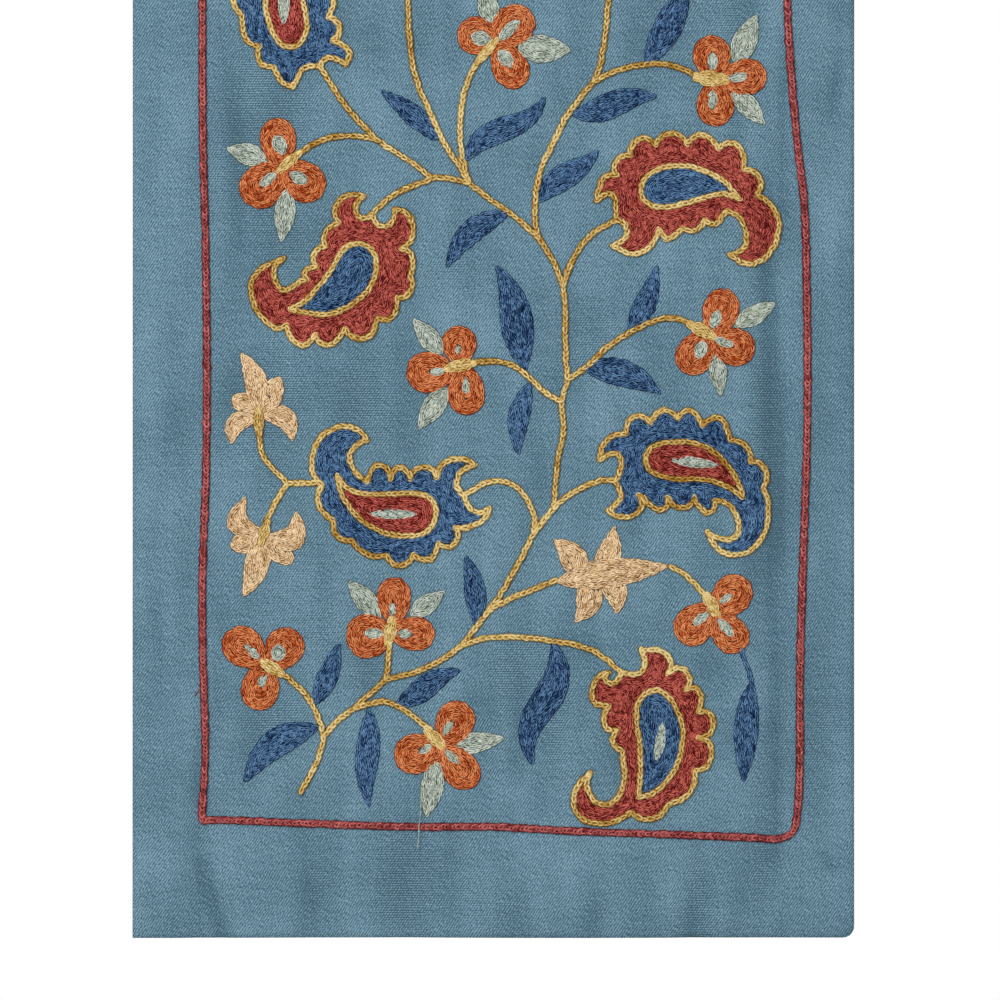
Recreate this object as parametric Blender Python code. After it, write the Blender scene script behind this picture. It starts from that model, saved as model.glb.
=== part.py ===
"""An embroidered wall hanging: one panel of twill cloth that hangs by its top edge.

The panel is a single thin sheet with the soft folds it has as it hangs. Its embroidered face looks
along -Y, +X is to the viewer's right and +Z is up. The origin is the middle of the top edge, halfway
through the cloth. Distances are in metres.
"""

import math

import bmesh
import bpy

# Driving dimensions of the panel
PANEL_WIDTH = 0.361
PANEL_LENGTH = 0.630
CLOTH_THICKNESS = 0.0012
CORNER_RADIUS = 0.006
CORNER_STEPS = 4

# The heading is the flat band along the top edge by which the panel is held
HEADING_DEPTH = 0.030
HEADING_FADE = 0.060

# The cloth is divided into cells, fine enough across for its narrow upright creases
COLUMNS = 56
ROWS = 40

# The panel as a whole bows in two long waves across, which grow from the heading down to the hem
WAVE_LENGTH = 0.205
WAVE_DEPTH = 0.0016
WAVE_SHIFT = 0.028
WAVE_LEAN = 0.09

# Soft folds, one a row: x of the fold at its upper and lower end, height of both ends, half its
# width, and how far the cloth stands back there (a minus sign is a ridge towards the viewer)
FOLDS = (
    {"x_top": 0.137, "x_foot": 0.142, "top": -0.270, "foot": -0.600, "half_width": 0.0100, "back": 0.0020},
    {"x_top": 0.158, "x_foot": 0.160, "top": -0.300, "foot": -0.640, "half_width": 0.0110, "back": -0.0012},
    {"x_top": -0.128, "x_foot": -0.124, "top": -0.150, "foot": -0.420, "half_width": 0.0120, "back": 0.0014},
    {"x_top": -0.152, "x_foot": -0.143, "top": -0.560, "foot": -0.660, "half_width": 0.0080, "back": 0.0018},
    {"x_top": -0.076, "x_foot": -0.080, "top": -0.080, "foot": -0.230, "half_width": 0.0140, "back": 0.0012},
    {"x_top": 0.022, "x_foot": 0.012, "top": -0.470, "foot": -0.580, "half_width": 0.0120, "back": 0.0014},
    {"x_top": -0.030, "x_foot": -0.026, "top": -0.340, "foot": -0.440, "half_width": 0.0130, "back": 0.0010},
    {"x_top": 0.070, "x_foot": 0.074, "top": -0.090, "foot": -0.210, "half_width": 0.0150, "back": -0.0010},
    {"x_top": 0.098, "x_foot": 0.103, "top": -0.590, "foot": -0.660, "half_width": 0.0090, "back": 0.0012},
    {"x_top": -0.040, "x_foot": -0.046, "top": -0.580, "foot": -0.660, "half_width": 0.0120, "back": 0.0012},
)

CLOTH_COLOUR = (0.117, 0.212, 0.275, 1.0)
CLOTH_ROUGHNESS = 0.72
# An edge that turns by less than this is shaded smooth, so only the rim stays crisp
SMOOTH_UP_TO = math.radians(40)


def clear_scene():
    for obj in list(bpy.data.objects):
        bpy.data.objects.remove(obj)


def smooth_step(value):
    """0 below 0, 1 above 1, and an even S between them."""
    share = min(max(value, 0.0), 1.0)
    return share * share * (3.0 - 2.0 * share)


def fold_depth(fold, x, z):
    """How far back one soft fold sets the cloth at a point of the panel."""
    length = fold["top"] - fold["foot"]
    along = (fold["top"] - z) / length
    if not 0.0 < along < 1.0:
        return 0.0
    middle = fold["x_top"] + (fold["x_foot"] - fold["x_top"]) * along
    across = (x - middle) / fold["half_width"]
    return fold["back"] * math.exp(-across * across) * math.sin(math.pi * along)


def cloth_depth(x, z):
    """Depth of the cloth's middle at a point of the panel: 0 over the whole heading."""
    below_heading = smooth_step((-z - HEADING_DEPTH) / HEADING_FADE)
    towards_hem = -z / PANEL_LENGTH
    phase = 2.0 * math.pi * (x + WAVE_SHIFT + WAVE_LEAN * towards_hem) / WAVE_LENGTH
    wave = WAVE_DEPTH * towards_hem * math.sin(phase)
    return below_heading * (wave + sum(fold_depth(fold, x, z) for fold in FOLDS))


def flat_panel(cloth):
    """The panel before it hangs: a grid in the XZ plane, with its right-hand hem corner turned round."""
    bmesh.ops.create_grid(cloth, x_segments=COLUMNS, y_segments=ROWS, size=0.5)
    for vert in cloth.verts:
        across, along = vert.co.x, vert.co.y
        vert.co = (across * PANEL_WIDTH, 0.0, (along - 0.5) * PANEL_LENGTH)
    corner = max(cloth.verts, key=lambda vert: vert.co.x - vert.co.z)
    bmesh.ops.bevel(
        cloth,
        geom=[corner],
        offset=CORNER_RADIUS,
        segments=CORNER_STEPS,
        profile=0.5,
        affect="VERTICES",
        material=-1,
    )


def twill_material():
    material = bpy.data.materials.new("ground_twill")
    material.use_nodes = True
    shader = material.node_tree.nodes["Principled BSDF"]
    shader.inputs["Base Color"].default_value = CLOTH_COLOUR
    shader.inputs["Roughness"].default_value = CLOTH_ROUGHNESS
    shader.inputs["Metallic"].default_value = 0.0
    return material


def cloth_panel():
    """The one piece of cloth that carries all the embroidery, given its thickness after it is folded."""
    cloth = bmesh.new()
    flat_panel(cloth)
    for vert in cloth.verts:
        vert.co.y = cloth_depth(vert.co.x, vert.co.z)
    bmesh.ops.recalc_face_normals(cloth, faces=cloth.faces)
    mesh = bpy.data.meshes.new("cloth_panel")
    cloth.to_mesh(mesh)
    cloth.free()
    panel = bpy.data.objects.new("cloth_panel", mesh)
    bpy.context.scene.collection.objects.link(panel)
    thickness = panel.modifiers.new("cloth thickness", "SOLIDIFY")
    thickness.thickness = CLOTH_THICKNESS
    thickness.offset = 0.0
    mesh.materials.append(twill_material())
    mesh.shade_smooth()
    mesh.set_sharp_from_angle(angle=SMOOTH_UP_TO)
    return panel


def main():
    clear_scene()
    cloth_panel()


main()
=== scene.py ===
"""The looks of an embroidered wall hanging: twill cloth worked in wool chain stitch.

Every chain stitch is modelled as a loop of yarn. Rows of stitches follow the vine's stems, the outlines of
the motifs and, inside them, lines parallel to those outlines, as a hand would fill them.
"""

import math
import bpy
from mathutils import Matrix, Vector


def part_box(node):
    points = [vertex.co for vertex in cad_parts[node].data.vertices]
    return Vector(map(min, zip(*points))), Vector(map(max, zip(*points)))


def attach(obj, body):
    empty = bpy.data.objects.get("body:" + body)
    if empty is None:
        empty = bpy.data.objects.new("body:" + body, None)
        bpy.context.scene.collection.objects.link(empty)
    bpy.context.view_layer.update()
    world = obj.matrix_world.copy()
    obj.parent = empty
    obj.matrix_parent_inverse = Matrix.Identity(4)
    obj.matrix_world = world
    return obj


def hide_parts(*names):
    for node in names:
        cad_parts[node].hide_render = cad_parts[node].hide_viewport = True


bl_info = {
    "name": "Embroidered wall hanging",
    "version": (1, 0, 0),
    "blender": (4, 5, 0),
    "location": "3D View > Sidebar > Hanging",
    "description": "Dresses a hanging panel with twill cloth and chain-stitch embroidery",
    "category": "Object",
}

import bmesh
import bpy
import numpy as np
from mathutils import Matrix, Vector

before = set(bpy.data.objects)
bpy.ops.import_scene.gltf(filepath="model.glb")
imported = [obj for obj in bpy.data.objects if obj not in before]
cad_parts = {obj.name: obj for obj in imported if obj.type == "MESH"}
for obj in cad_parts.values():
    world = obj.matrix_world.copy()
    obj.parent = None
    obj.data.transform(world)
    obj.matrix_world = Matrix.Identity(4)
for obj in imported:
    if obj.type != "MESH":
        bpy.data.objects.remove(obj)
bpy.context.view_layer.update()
PANEL_LOW, PANEL_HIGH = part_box("cloth_panel")

MM = 0.001
PANEL_WIDTH = PANEL_HIGH[0] - PANEL_LOW[0]
PANEL_LENGTH = PANEL_HIGH[2] - PANEL_LOW[2]


def from_screen(*screen):
    """A colour as it looks on a screen, 0 to 255, as the linear values that a shader takes."""
    shares = (value / 255 for value in screen)
    return tuple(share / 12.92 if share <= 0.04045 else ((share + 0.055) / 1.055) ** 2.4
                 for share in shares)


# The cloth's form, with the same folds as the solid's, in metres from the middle of the top edge
HEADING_DEPTH = 0.030
HEADING_FADE = 0.060
WAVE_LENGTH = 0.205
WAVE_DEPTH = 0.0016
WAVE_SHIFT = 0.028
WAVE_LEAN = 0.09
FOLDS = (
    {"x_top": 0.137, "x_foot": 0.142, "top": -0.270, "foot": -0.600, "half_width": 0.0100, "back": 0.0020},
    {"x_top": 0.158, "x_foot": 0.160, "top": -0.300, "foot": -0.640, "half_width": 0.0110, "back": -0.0012},
    {"x_top": -0.128, "x_foot": -0.124, "top": -0.150, "foot": -0.420, "half_width": 0.0120, "back": 0.0014},
    {"x_top": -0.152, "x_foot": -0.143, "top": -0.560, "foot": -0.660, "half_width": 0.0080, "back": 0.0018},
    {"x_top": -0.076, "x_foot": -0.080, "top": -0.080, "foot": -0.230, "half_width": 0.0140, "back": 0.0012},
    {"x_top": 0.022, "x_foot": 0.012, "top": -0.470, "foot": -0.580, "half_width": 0.0120, "back": 0.0014},
    {"x_top": -0.030, "x_foot": -0.026, "top": -0.340, "foot": -0.440, "half_width": 0.0130, "back": 0.0010},
    {"x_top": 0.070, "x_foot": 0.074, "top": -0.090, "foot": -0.210, "half_width": 0.0150, "back": -0.0010},
    {"x_top": 0.098, "x_foot": 0.103, "top": -0.590, "foot": -0.660, "half_width": 0.0090, "back": 0.0012},
    {"x_top": -0.040, "x_foot": -0.046, "top": -0.580, "foot": -0.660, "half_width": 0.0120, "back": 0.0012},
)

# Fine creases that only the looks have, in the same columns
# Each crease, like each fold, also paints shade into the twill's colour along its line
CREASES = (
    {"x_top": 0.1350, "x_foot": 0.1385, "top": -0.245, "foot": -0.340, "half_width": 0.0040, "back": 0.0013},
    {"x_top": 0.1395, "x_foot": 0.1415, "top": -0.300, "foot": -0.475, "half_width": 0.0042, "back": 0.0016},
    {"x_top": 0.1405, "x_foot": 0.1425, "top": -0.430, "foot": -0.610, "half_width": 0.0030, "back": 0.0010},
    {"x_top": 0.1445, "x_foot": 0.1455, "top": -0.150, "foot": -0.300, "half_width": 0.0022, "back": 0.0005},
    {"x_top": -0.147, "x_foot": -0.131, "top": -0.588, "foot": -0.645, "half_width": 0.0032, "back": 0.0017},
    {"x_top": -0.131, "x_foot": -0.126, "top": -0.190, "foot": -0.300, "half_width": 0.0045, "back": 0.0005},
    {"x_top": 0.163, "x_foot": 0.172, "top": -0.585, "foot": -0.600, "half_width": 0.0040, "back": 0.0006},
    {"x_top": 0.174, "x_foot": 0.168, "top": -0.180, "foot": -0.225, "half_width": 0.0035, "back": 0.0006},
    {"x_top": 0.098, "x_foot": 0.100, "top": -0.600, "foot": -0.650, "half_width": 0.0040, "back": 0.0005},
    {"x_top": -0.092, "x_foot": -0.088, "top": -0.590, "foot": -0.645, "half_width": 0.0050, "back": 0.0005},
    {"x_top": 0.052, "x_foot": 0.047, "top": -0.585, "foot": -0.645, "half_width": 0.0050, "back": -0.0004},
    {"x_top": -0.172, "x_foot": -0.165, "top": -0.440, "foot": -0.500, "half_width": 0.0040, "back": 0.0005},
    {"x_top": 0.016, "x_foot": 0.008, "top": -0.490, "foot": -0.560, "half_width": 0.0045, "back": 0.0004},
    {"x_top": -0.058, "x_foot": -0.062, "top": -0.150, "foot": -0.215, "half_width": 0.0050, "back": 0.0004},
    {"x_top": 0.128, "x_foot": 0.131, "top": -0.120, "foot": -0.200, "half_width": 0.0050, "back": 0.0004},
    {"x_top": -0.148, "x_foot": -0.146, "top": -0.460, "foot": -0.640, "half_width": 0.0040, "back": 0.0005},
)

# Soft patches where the twill is worn and its level weft shows, a little darker than the rest
WORN_PATCHES = (
    {"x": -0.119, "z": -0.231, "half_width": 0.020, "half_height": 0.045},
    {"x": -0.113, "z": -0.212, "half_width": 0.014, "half_height": 0.012},
    {"x": -0.102, "z": -0.274, "half_width": 0.007, "half_height": 0.014},
    {"x": -0.064, "z": -0.354, "half_width": 0.030, "half_height": 0.025},
    {"x": -0.112, "z": -0.354, "half_width": 0.018, "half_height": 0.025},
    {"x": 0.1365, "z": -0.365, "half_width": 0.0080, "half_height": 0.085},
    {"x": -0.062, "z": -0.496, "half_width": 0.011, "half_height": 0.014},
    {"x": 0.008, "z": -0.497, "half_width": 0.010, "half_height": 0.018},
    {"x": -0.109, "z": -0.526, "half_width": 0.018, "half_height": 0.015},
    {"x": 0.031, "z": -0.521, "half_width": 0.006, "half_height": 0.028},
    {"x": 0.121, "z": -0.191, "half_width": 0.012, "half_height": 0.030},
    {"x": -0.087, "z": -0.606, "half_width": 0.007, "half_height": 0.022},
    {"x": -0.045, "z": -0.608, "half_width": 0.012, "half_height": 0.020},
    {"x": 0.103, "z": -0.608, "half_width": 0.007, "half_height": 0.022},
    {"x": 0.135, "z": -0.595, "half_width": 0.006, "half_height": 0.030},
    {"x": 0.020, "z": -0.110, "half_width": 0.030, "half_height": 0.030},
    {"x": -0.110, "z": -0.090, "half_width": 0.020, "half_height": 0.030},
)

CLOTH_THICKNESS = 0.0008
CLOTH_CELL = 0.0030
CORNER_RADIUS = 0.0058
CORNER_STEPS = 5


def smooth_step(value):
    """0 below 0, 1 above 1, and a soft rise in between."""
    share = np.clip(value, 0.0, 1.0)
    return share * share * (3.0 - 2.0 * share)


def fold_depth(fold, x, z):
    """How far back one soft fold or crease sets the cloth at points of the panel."""
    along = np.clip((fold["top"] - z) / (fold["top"] - fold["foot"]), 0.0, 1.0)
    middle = fold["x_top"] + (fold["x_foot"] - fold["x_top"]) * along
    across = (x - middle) / fold["half_width"]
    return fold["back"] * np.exp(-across * across) * np.sin(np.pi * along)


def cloth_depth(x, z):
    """Depth of the cloth's middle at points of the panel: 0 over the whole heading."""
    below_heading = smooth_step((-z - HEADING_DEPTH) / HEADING_FADE)
    towards_hem = -z / PANEL_LENGTH
    phase = 2.0 * np.pi * (x + WAVE_SHIFT + WAVE_LEAN * towards_hem) / WAVE_LENGTH
    wave = WAVE_DEPTH * towards_hem * np.sin(phase)
    return below_heading * (wave + sum(fold_depth(fold, x, z) for fold in FOLDS + CREASES))


# The embroidered pattern, in millimetres: x to the right of the panel's middle, h up from its hem

# Where stems divide or meet
FORKS = {
    "root": (-97, 72),
    "low": (-85, 100.5),
    "low right": (-70, 114.5),
    "long stem": (-54, 129),
    "middle": (-16, 146),
    "bank": (-3, 163),
    "heart": (20, 202),
    "above heart": (30, 214.5),
    "waist": (34, 268),
    "shoulder": (37, 279),
    "neck": (35, 325.5),
    "crossing": (23, 349.5),
    "right top": (50, 428),
    "left top": (-12, 377.5),
    "left arm": (-31, 380),
    "left elbow": (-59, 399.5),
    "pair": (-103, 227.5),
    "crown left": (-43, 478),
    "crown right": (58, 480),
}

STEMS = (
    {"from": "root", "by": ((-93, 79), (-88, 88.5)), "to": "low"},
    {"from": "low", "by": ((-87, 108), (-91, 117.5), (-98, 126)), "to": (-107, 133)},
    {"from": "low", "by": ((-79, 107.5),), "to": "low right"},
    {"from": "low right", "by": ((-62, 122),), "to": "long stem"},
    {"from": "long stem", "by": ((-53, 135.5),), "to": (-52, 147)},
    {"from": "low right", "by": ((-62, 117), (-53, 118), (-44, 113.5)), "to": (-32, 104)},
    {"from": "long stem", "by": ((-40, 132.5), (-25, 139.5)), "to": "middle"},
    {"from": "middle", "by": ((-6, 149.5), (11, 150.5), (29, 148.5), (45, 145.5), (54, 141)),
     "to": (64, 133)},
    {"from": "middle", "by": ((-11, 152.5),), "to": "bank"},
    {"from": "bank", "by": ((6, 168.5), (18, 173.5)), "to": (31, 178.5)},
    {"from": (88, 186), "by": ((95, 182.5), (103, 174.5)), "to": (107, 170)},
    {"from": "bank", "by": ((5, 174), (14, 190)), "to": "heart"},
    {"from": "heart", "by": ((20.5, 209), (18, 217), (12, 225), (4, 228.5), (-5, 227)), "to": (-14, 222)},
    {"from": "heart", "by": (), "to": "above heart"},
    {"from": "above heart", "by": ((36, 220), (45, 225.5), (53, 228.5)), "to": (60, 229)},
    {"from": "above heart", "by": ((32, 238), (35, 254)), "to": "waist"},
    {"from": "waist", "by": ((25, 273.5), (16, 282), (9, 287), (0, 288.5)), "to": (-10, 288)},
    {"from": "waist", "by": (), "to": "shoulder"},
    {"from": "shoulder", "by": ((48, 287), (57, 295.5), (67, 302), (79, 308), (90, 310)),
     "to": (100, 306.5)},
    {"from": "shoulder", "by": ((36, 295.5), (36, 312)), "to": "neck"},
    {"from": "neck", "by": ((38, 336), (45, 347.5), (53, 354.5)), "to": (61.5, 359)},
    {"from": "neck", "by": ((30, 338),), "to": "crossing"},
    {"from": "crossing", "by": ((21, 358), (21, 370), (24, 385), (30, 398), (37, 411.5)),
     "to": "right top"},
    {"from": "right top", "by": ((53, 435.5), (56, 452), (57, 466)), "to": "crown right"},
    {"from": "right top", "by": ((58, 432), (68, 435.5), (80, 437), (91, 436)), "to": (101, 431.5)},
    {"from": "crossing", "by": ((14, 358), (5, 365), (-4, 371)), "to": "left top"},
    {"from": "left top", "by": ((-17, 386), (-24, 396.5), (-32, 413.5), (-39, 431), (-42, 450)),
     "to": "crown left"},
    {"from": "left top", "by": ((-15, 387), (-16.5, 399), (-16.5, 411.5), (-14, 425), (-9, 436.5)),
     "to": (-1, 446)},
    {"from": "left top", "by": ((-21, 380),), "to": "left arm"},
    {"from": "left arm", "by": ((-39, 376.5), (-47, 373.5), (-54, 368.5)), "to": (-62, 361)},
    {"from": "left arm", "by": ((-39, 386.5), (-48, 392.5)), "to": "left elbow"},
    {"from": "left elbow", "by": ((-67, 401), (-77, 401), (-88, 398)), "to": (-97, 392.5)},
    {"from": "left elbow", "by": ((-65, 406), (-73, 415)), "to": (-87, 436)},
    {"from": (-88, 227.5), "by": (), "to": "pair"},
    {"from": "pair", "by": ((-110, 234.5), (-116, 243)), "to": (-117, 256)},
    {"from": "pair", "by": ((-108, 219.5), (-112, 211.5)), "to": (-114, 207)},
    {"from": "crown left", "by": ((-43, 492), (-41, 505)), "to": (-36, 517)},
    {"from": "crown right", "by": ((61, 494), (68, 507)), "to": (79, 517)},
)

# Paisleys. Each stroke of the edge starts at a sharp point and runs smoothly to where the next one starts.
# The first starts where the stem arrives. The drop's line starts and ends at its point
PAISLEYS = (
    {
        "ring": "blue", "drop_wool": "red",
        "edge": (
            ((-86.7, 435.7), (-90, 436.2), (-93.8, 435.6), (-96.7, 433), (-98, 429)),
            ((-100.5, 425.5), (-104.6, 426.9), (-107.5, 430.3)),
            ((-110, 435.7), (-114, 435.7), (-116.8, 438.2), (-118, 442)),
            ((-117, 446), (-121.3, 446.9), (-123.8, 449.8), (-125.4, 454)),
            ((-126, 461.5), (-129.5, 466), (-130, 472)),
            ((-126.5, 478), (-128, 484), (-125, 490.5)),
            ((-119.5, 494), (-118.5, 500), (-113, 504.5)),
            ((-107.5, 505.5), (-104, 511), (-98, 513.5)),
            ((-92, 512), (-84, 517), (-74, 517.5), (-62, 512), (-54.5, 503), (-52, 492), (-56, 483)),
            ((-64, 479), (-61.5, 486), (-63.5, 493), (-70, 497), (-78, 496)),
            ((-86, 489), (-82.5, 484.5), (-83, 479)),
            ((-87, 475), (-81.5, 473), (-80.3, 467)),
            ((-82.5, 460.8), (-78.5, 458.8), (-77, 455), (-78, 451.2)),
            ((-80.5, 449), (-76.3, 447.3), (-73, 445), (-71.7, 441.5)),
            ((-73.8, 436.9), (-78, 439.4), (-82, 440.3), (-85.4, 439)),
        ),
        "drop": ((-90, 498), (-99, 494.5), (-107, 486), (-112.5, 476), (-113.8, 466), (-112, 457.3),
                 (-109.2, 450.7), (-105.4, 446.3), (-101.3, 445.3), (-96.5, 447.3), (-93.8, 453),
                 (-93.6, 460), (-95, 468), (-95.3, 478), (-93.5, 488)),
        "core": {"base": (-105, 455.5), "tip": (-104.5, 483.5), "width": 6.5, "blunt": 0.4},
    },
    {
        "ring": "red", "drop_wool": "blue",
        "edge": (
            ((-60.5, 361), (-65, 359.5), (-68.3, 362), (-68.5, 367)),
            ((-64.8, 371.2), (-69.5, 372), (-74, 371), (-77, 368.8), (-79, 365.5), (-79.3, 361.5)),
            ((-77.2, 357.6), (-81.5, 356), (-84.3, 352.3), (-85.2, 349)),
            ((-84, 346), (-88, 344.3), (-89.8, 341.3), (-89.9, 338)),
            ((-88.2, 335.4), (-92.5, 335), (-94.6, 332.3)),
            ((-93.5, 329.2), (-98.5, 327.3), (-101.8, 324.4), (-105.2, 323.6), (-108.1, 326.5),
             (-110, 331.5), (-109, 336)),
            ((-105.6, 339.6), (-114.3, 335.7), (-118.5, 332.3), (-121, 327.3), (-121.4, 322.3),
             (-119.8, 316.5), (-116, 310.7), (-111.8, 306.5), (-107.7, 304.4)),
            ((-103.6, 306.5), (-102.3, 302.3), (-100, 298.2), (-96, 296.1), (-92.3, 297.5)),
            ((-89.3, 301.8), (-87.3, 298), (-83.5, 296.3), (-79, 297.8), (-76.4, 301.3)),
            ((-74.2, 304.8), (-71.4, 301.1), (-66.4, 299.7), (-61.8, 301.1), (-59.3, 304.8)),
            ((-58.4, 310.2), (-54.3, 308.8), (-50.6, 310.7), (-48.5, 314.8)),
            ((-48.2, 319.8), (-43.5, 320.9), (-41, 324), (-40.5, 328)),
            ((-41.6, 331.3), (-40.2, 335.7), (-40.6, 340.7), (-42.3, 343.4)),
            ((-46.3, 344.8), (-42.3, 347.3), (-40.3, 352.3), (-40.6, 358.2), (-42.7, 361.9),
             (-45.2, 363.6)),
            ((-49.3, 364.5), (-49.5, 361.3), (-50.8, 358), (-53.3, 356.1), (-56.8, 356.1), (-59.3, 358.6)),
        ),
        "drop": ((-101.5, 314.3), (-93.5, 319), (-88.5, 324.8), (-82.7, 331.9), (-79.3, 337.3),
                 (-76, 343.2), (-71.8, 346.5), (-66.8, 347.3), (-61.8, 345.3), (-58.9, 339.8),
                 (-58.9, 332.3), (-61.8, 325.7), (-66.8, 319.8), (-73.5, 315.3), (-80.2, 312.3),
                 (-86.8, 311.7), (-93.5, 312.8)),
        "core": None,
    },
    {
        "ring": "red", "drop_wool": "blue",
        "edge": (
            ((61.3, 359.5), (61.3, 364), (61.3, 368), (60.3, 371.5), (57.3, 372.5)),
            ((51.8, 369), (52.3, 373), (53.3, 377.5), (55.8, 380.7)),
            ((61.3, 381.8), (60.3, 385.5), (61.8, 389), (64.5, 390.9)),
            ((68.3, 391.2), (68.8, 395), (71.3, 398.6), (75.8, 400.2)),
            ((81, 396.8), (84.3, 401), (89.3, 402.5), (94.3, 400.8)),
            ((97, 396.8), (100.3, 400.8), (104.3, 401.8), (108.8, 399.5)),
            ((112.6, 394.8), (115.8, 397.3), (120.8, 397.2), (124.3, 393.5), (125.5, 389)),
            ((125.4, 384.2), (130.3, 383.5), (133.3, 380), (133.9, 376)),
            ((131.8, 371.5), (136.3, 369), (140.3, 364.5), (142.8, 359), (142.4, 352), (139.8, 345),
             (135.3, 339.5), (128.8, 337), (123.8, 338)),
            ((118.8, 341.5), (123.3, 343.2), (126.3, 347), (126.3, 353), (123.8, 359), (120.3, 362.5),
             (117.3, 363.5)),
            ((114.8, 361.5), (112.8, 358), (109.8, 356.5)),
            ((105.8, 358.9), (102.8, 355.3), (98.8, 353)),
            ((94, 354.9), (90.3, 351), (86, 349.5)),
            ((83, 354.5), (81.3, 350.5), (78.8, 346), (74.3, 343), (69.3, 342), (63.8, 344)),
            ((59.8, 346.2), (64.3, 348.5), (66.8, 351.5), (66.3, 356), (64, 358.3)),
        ),
        "drop": ((123.3, 369.5), (118.8, 375), (113.8, 379.5), (105.8, 383.5), (97.8, 386), (89.8, 386),
                 (82.8, 384.5), (76.8, 381), (73.8, 375), (74.6, 370), (78.8, 366.5), (84.8, 365.2),
                 (91.8, 366.2), (99.8, 368.5), (107.8, 371), (115.8, 372)),
        "core": None,
    },
    {
        "ring": "blue", "drop_wool": "red",
        "edge": (
            ((-14.7, 221), (-18.2, 225), (-18.2, 230), (-15.2, 234)),
            ((-9.7, 236.5), (-13.2, 239), (-18.2, 239.5), (-24, 237.7), (-26.9, 235)),
            ((-28.7, 230.8), (-30.6, 234.5), (-35.2, 235.5), (-39.7, 233.8)),
            ((-41.7, 229.5), (-43.2, 233.6), (-46.7, 235.2), (-49.9, 233.6)),
            ((-51.5, 229.5), (-53.2, 234.8), (-57.2, 236.5), (-60.9, 235), (-61.8, 231)),
            ((-63.2, 228.3), (-67.2, 231), (-70.7, 235.5), (-72.2, 241), (-70, 245.2)),
            ((-63.2, 249.2), (-66.2, 253), (-71.2, 255.5), (-77.2, 255.5), (-84.2, 252), (-88.7, 247),
             (-90.7, 240), (-90.4, 232)),
            ((-86, 226.5), (-88, 221), (-86.7, 215), (-83.2, 211)),
            ((-80.2, 208.8), (-79.7, 203.5), (-76.2, 199.5)),
            ((-70.3, 198.4), (-68.2, 195), (-63.2, 191.7), (-57.2, 190.8)),
            ((-53.3, 191.5), (-51, 187.5), (-46.2, 186), (-42.7, 187.5)),
            ((-40, 191.6), (-36.2, 189.5), (-31.2, 189.5), (-29, 193)),
            ((-27.2, 197), (-22.2, 195.2), (-18.7, 198), (-17.4, 202)),
            ((-19.2, 205.4), (-14.2, 204.7), (-8.2, 207), (-3.9, 210)),
            ((-2.2, 214.5), (-5.2, 212.8), (-9.2, 213.2), (-12.7, 216)),
        ),
        "drop": ((-78.2, 231), (-74.2, 226), (-68.2, 222.7), (-60.2, 221.8), (-50.2, 222), (-41.2, 222.3),
                 (-34.2, 221.6), (-30.2, 218), (-28.7, 212), (-30.7, 206), (-35.2, 202.2), (-43.2, 201),
                 (-52.2, 201.8), (-59.2, 204.5), (-67.2, 210), (-73.2, 217), (-76.7, 224)),
        "core": {"base": (-62.7, 212), "tip": (-37.2, 212), "width": 5.6, "blunt": 0.4},
    },
    {
        "ring": "blue", "drop_wool": "red",
        "edge": (
            ((60.8, 228), (63.3, 233.5), (64.1, 238.5), (62.3, 241.8), (58.3, 241.8)),
            ((53.1, 239), (54.3, 245), (57.3, 249.5), (61.3, 251.8)),
            ((66.6, 252.2), (66.8, 257), (69.8, 260.5), (74.3, 261)),
            ((78.5, 258), (81.3, 262), (85.3, 263.8), (89.3, 263)),
            ((92.3, 259.5), (94.8, 263), (98.3, 264), (101.8, 261.5)),
            ((104.3, 256), (107.5, 259), (112.3, 260.5), (115.8, 257.5), (117.4, 252.5)),
            ((118.3, 249.2), (123.8, 248), (127.8, 244.5), (128.9, 240.5)),
            ((128.6, 237.9), (133, 237.9), (136.3, 233.5), (136.9, 229)),
            ((135, 225), (137.6, 219), (137.6, 212), (136.3, 204), (132.3, 197), (126.3, 192.5),
             (118.3, 191.5), (112.3, 194.5), (109.3, 198.5)),
            ((107.5, 203), (111.3, 200.2), (117.3, 199), (121.8, 201), (122.8, 206), (121.3, 212),
             (117.8, 216.5), (114.3, 218.5)),
            ((111, 218.5), (110.3, 213.7), (107.3, 212.5), (103.3, 215)),
            ((100.5, 219.8), (98.3, 216), (94.3, 215), (90.3, 216)),
            ((87.3, 220.2), (86.5, 215.2), (83.3, 214), (79.3, 215.5), (76.3, 219)),
            ((72.6, 221.5), (74.7, 217), (71.3, 212), (65.3, 210.2), (60, 211.6)),
            ((58.1, 213.5), (61.3, 217), (63.8, 220), (63.3, 224)),
        ),
        "drop": ((124.8, 220.5), (122.3, 228), (118.3, 235), (112.3, 241.5), (106.3, 245.5),
                 (98.3, 247.7), (90.3, 248), (82.3, 247), (77.3, 243.5), (75.8, 239), (77.8, 234),
                 (83.3, 231), (91.3, 229.5), (100.3, 229.5), (109.3, 228.5), (117.3, 225.5)),
        "core": {"base": (87.8, 239.2), "tip": (113.8, 236.3), "width": 5.6, "blunt": 0.4},
    },
    {
        "ring": "red", "drop_wool": "blue",
        "edge": (
            ((64.3, 133), (68.3, 132), (72.8, 132.2), (75.5, 134.5), (75.8, 139)),
            ((74.1, 144), (78.3, 143.9), (83.3, 143.5), (87.8, 140.5), (88.9, 136)),
            ((87.2, 132.3), (91.8, 134.8), (95.8, 134), (98, 130), (98.2, 126.5)),
            ((95.6, 123.8), (100.3, 125.3), (103.3, 123), (103.9, 118)),
            ((102.2, 112.7), (106.8, 113.4), (109.8, 110), (109.5, 105), (107.3, 101.2)),
            ((102.4, 100), (106.8, 98.8), (109.1, 94), (107.9, 87), (104.5, 84.1)),
            ((100.3, 83.8), (101.1, 79), (99.3, 74), (95.3, 70), (90.5, 67.9)),
            ((86.9, 66.4), (84.3, 62), (79.3, 59.3), (74.3, 59.5)),
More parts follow.
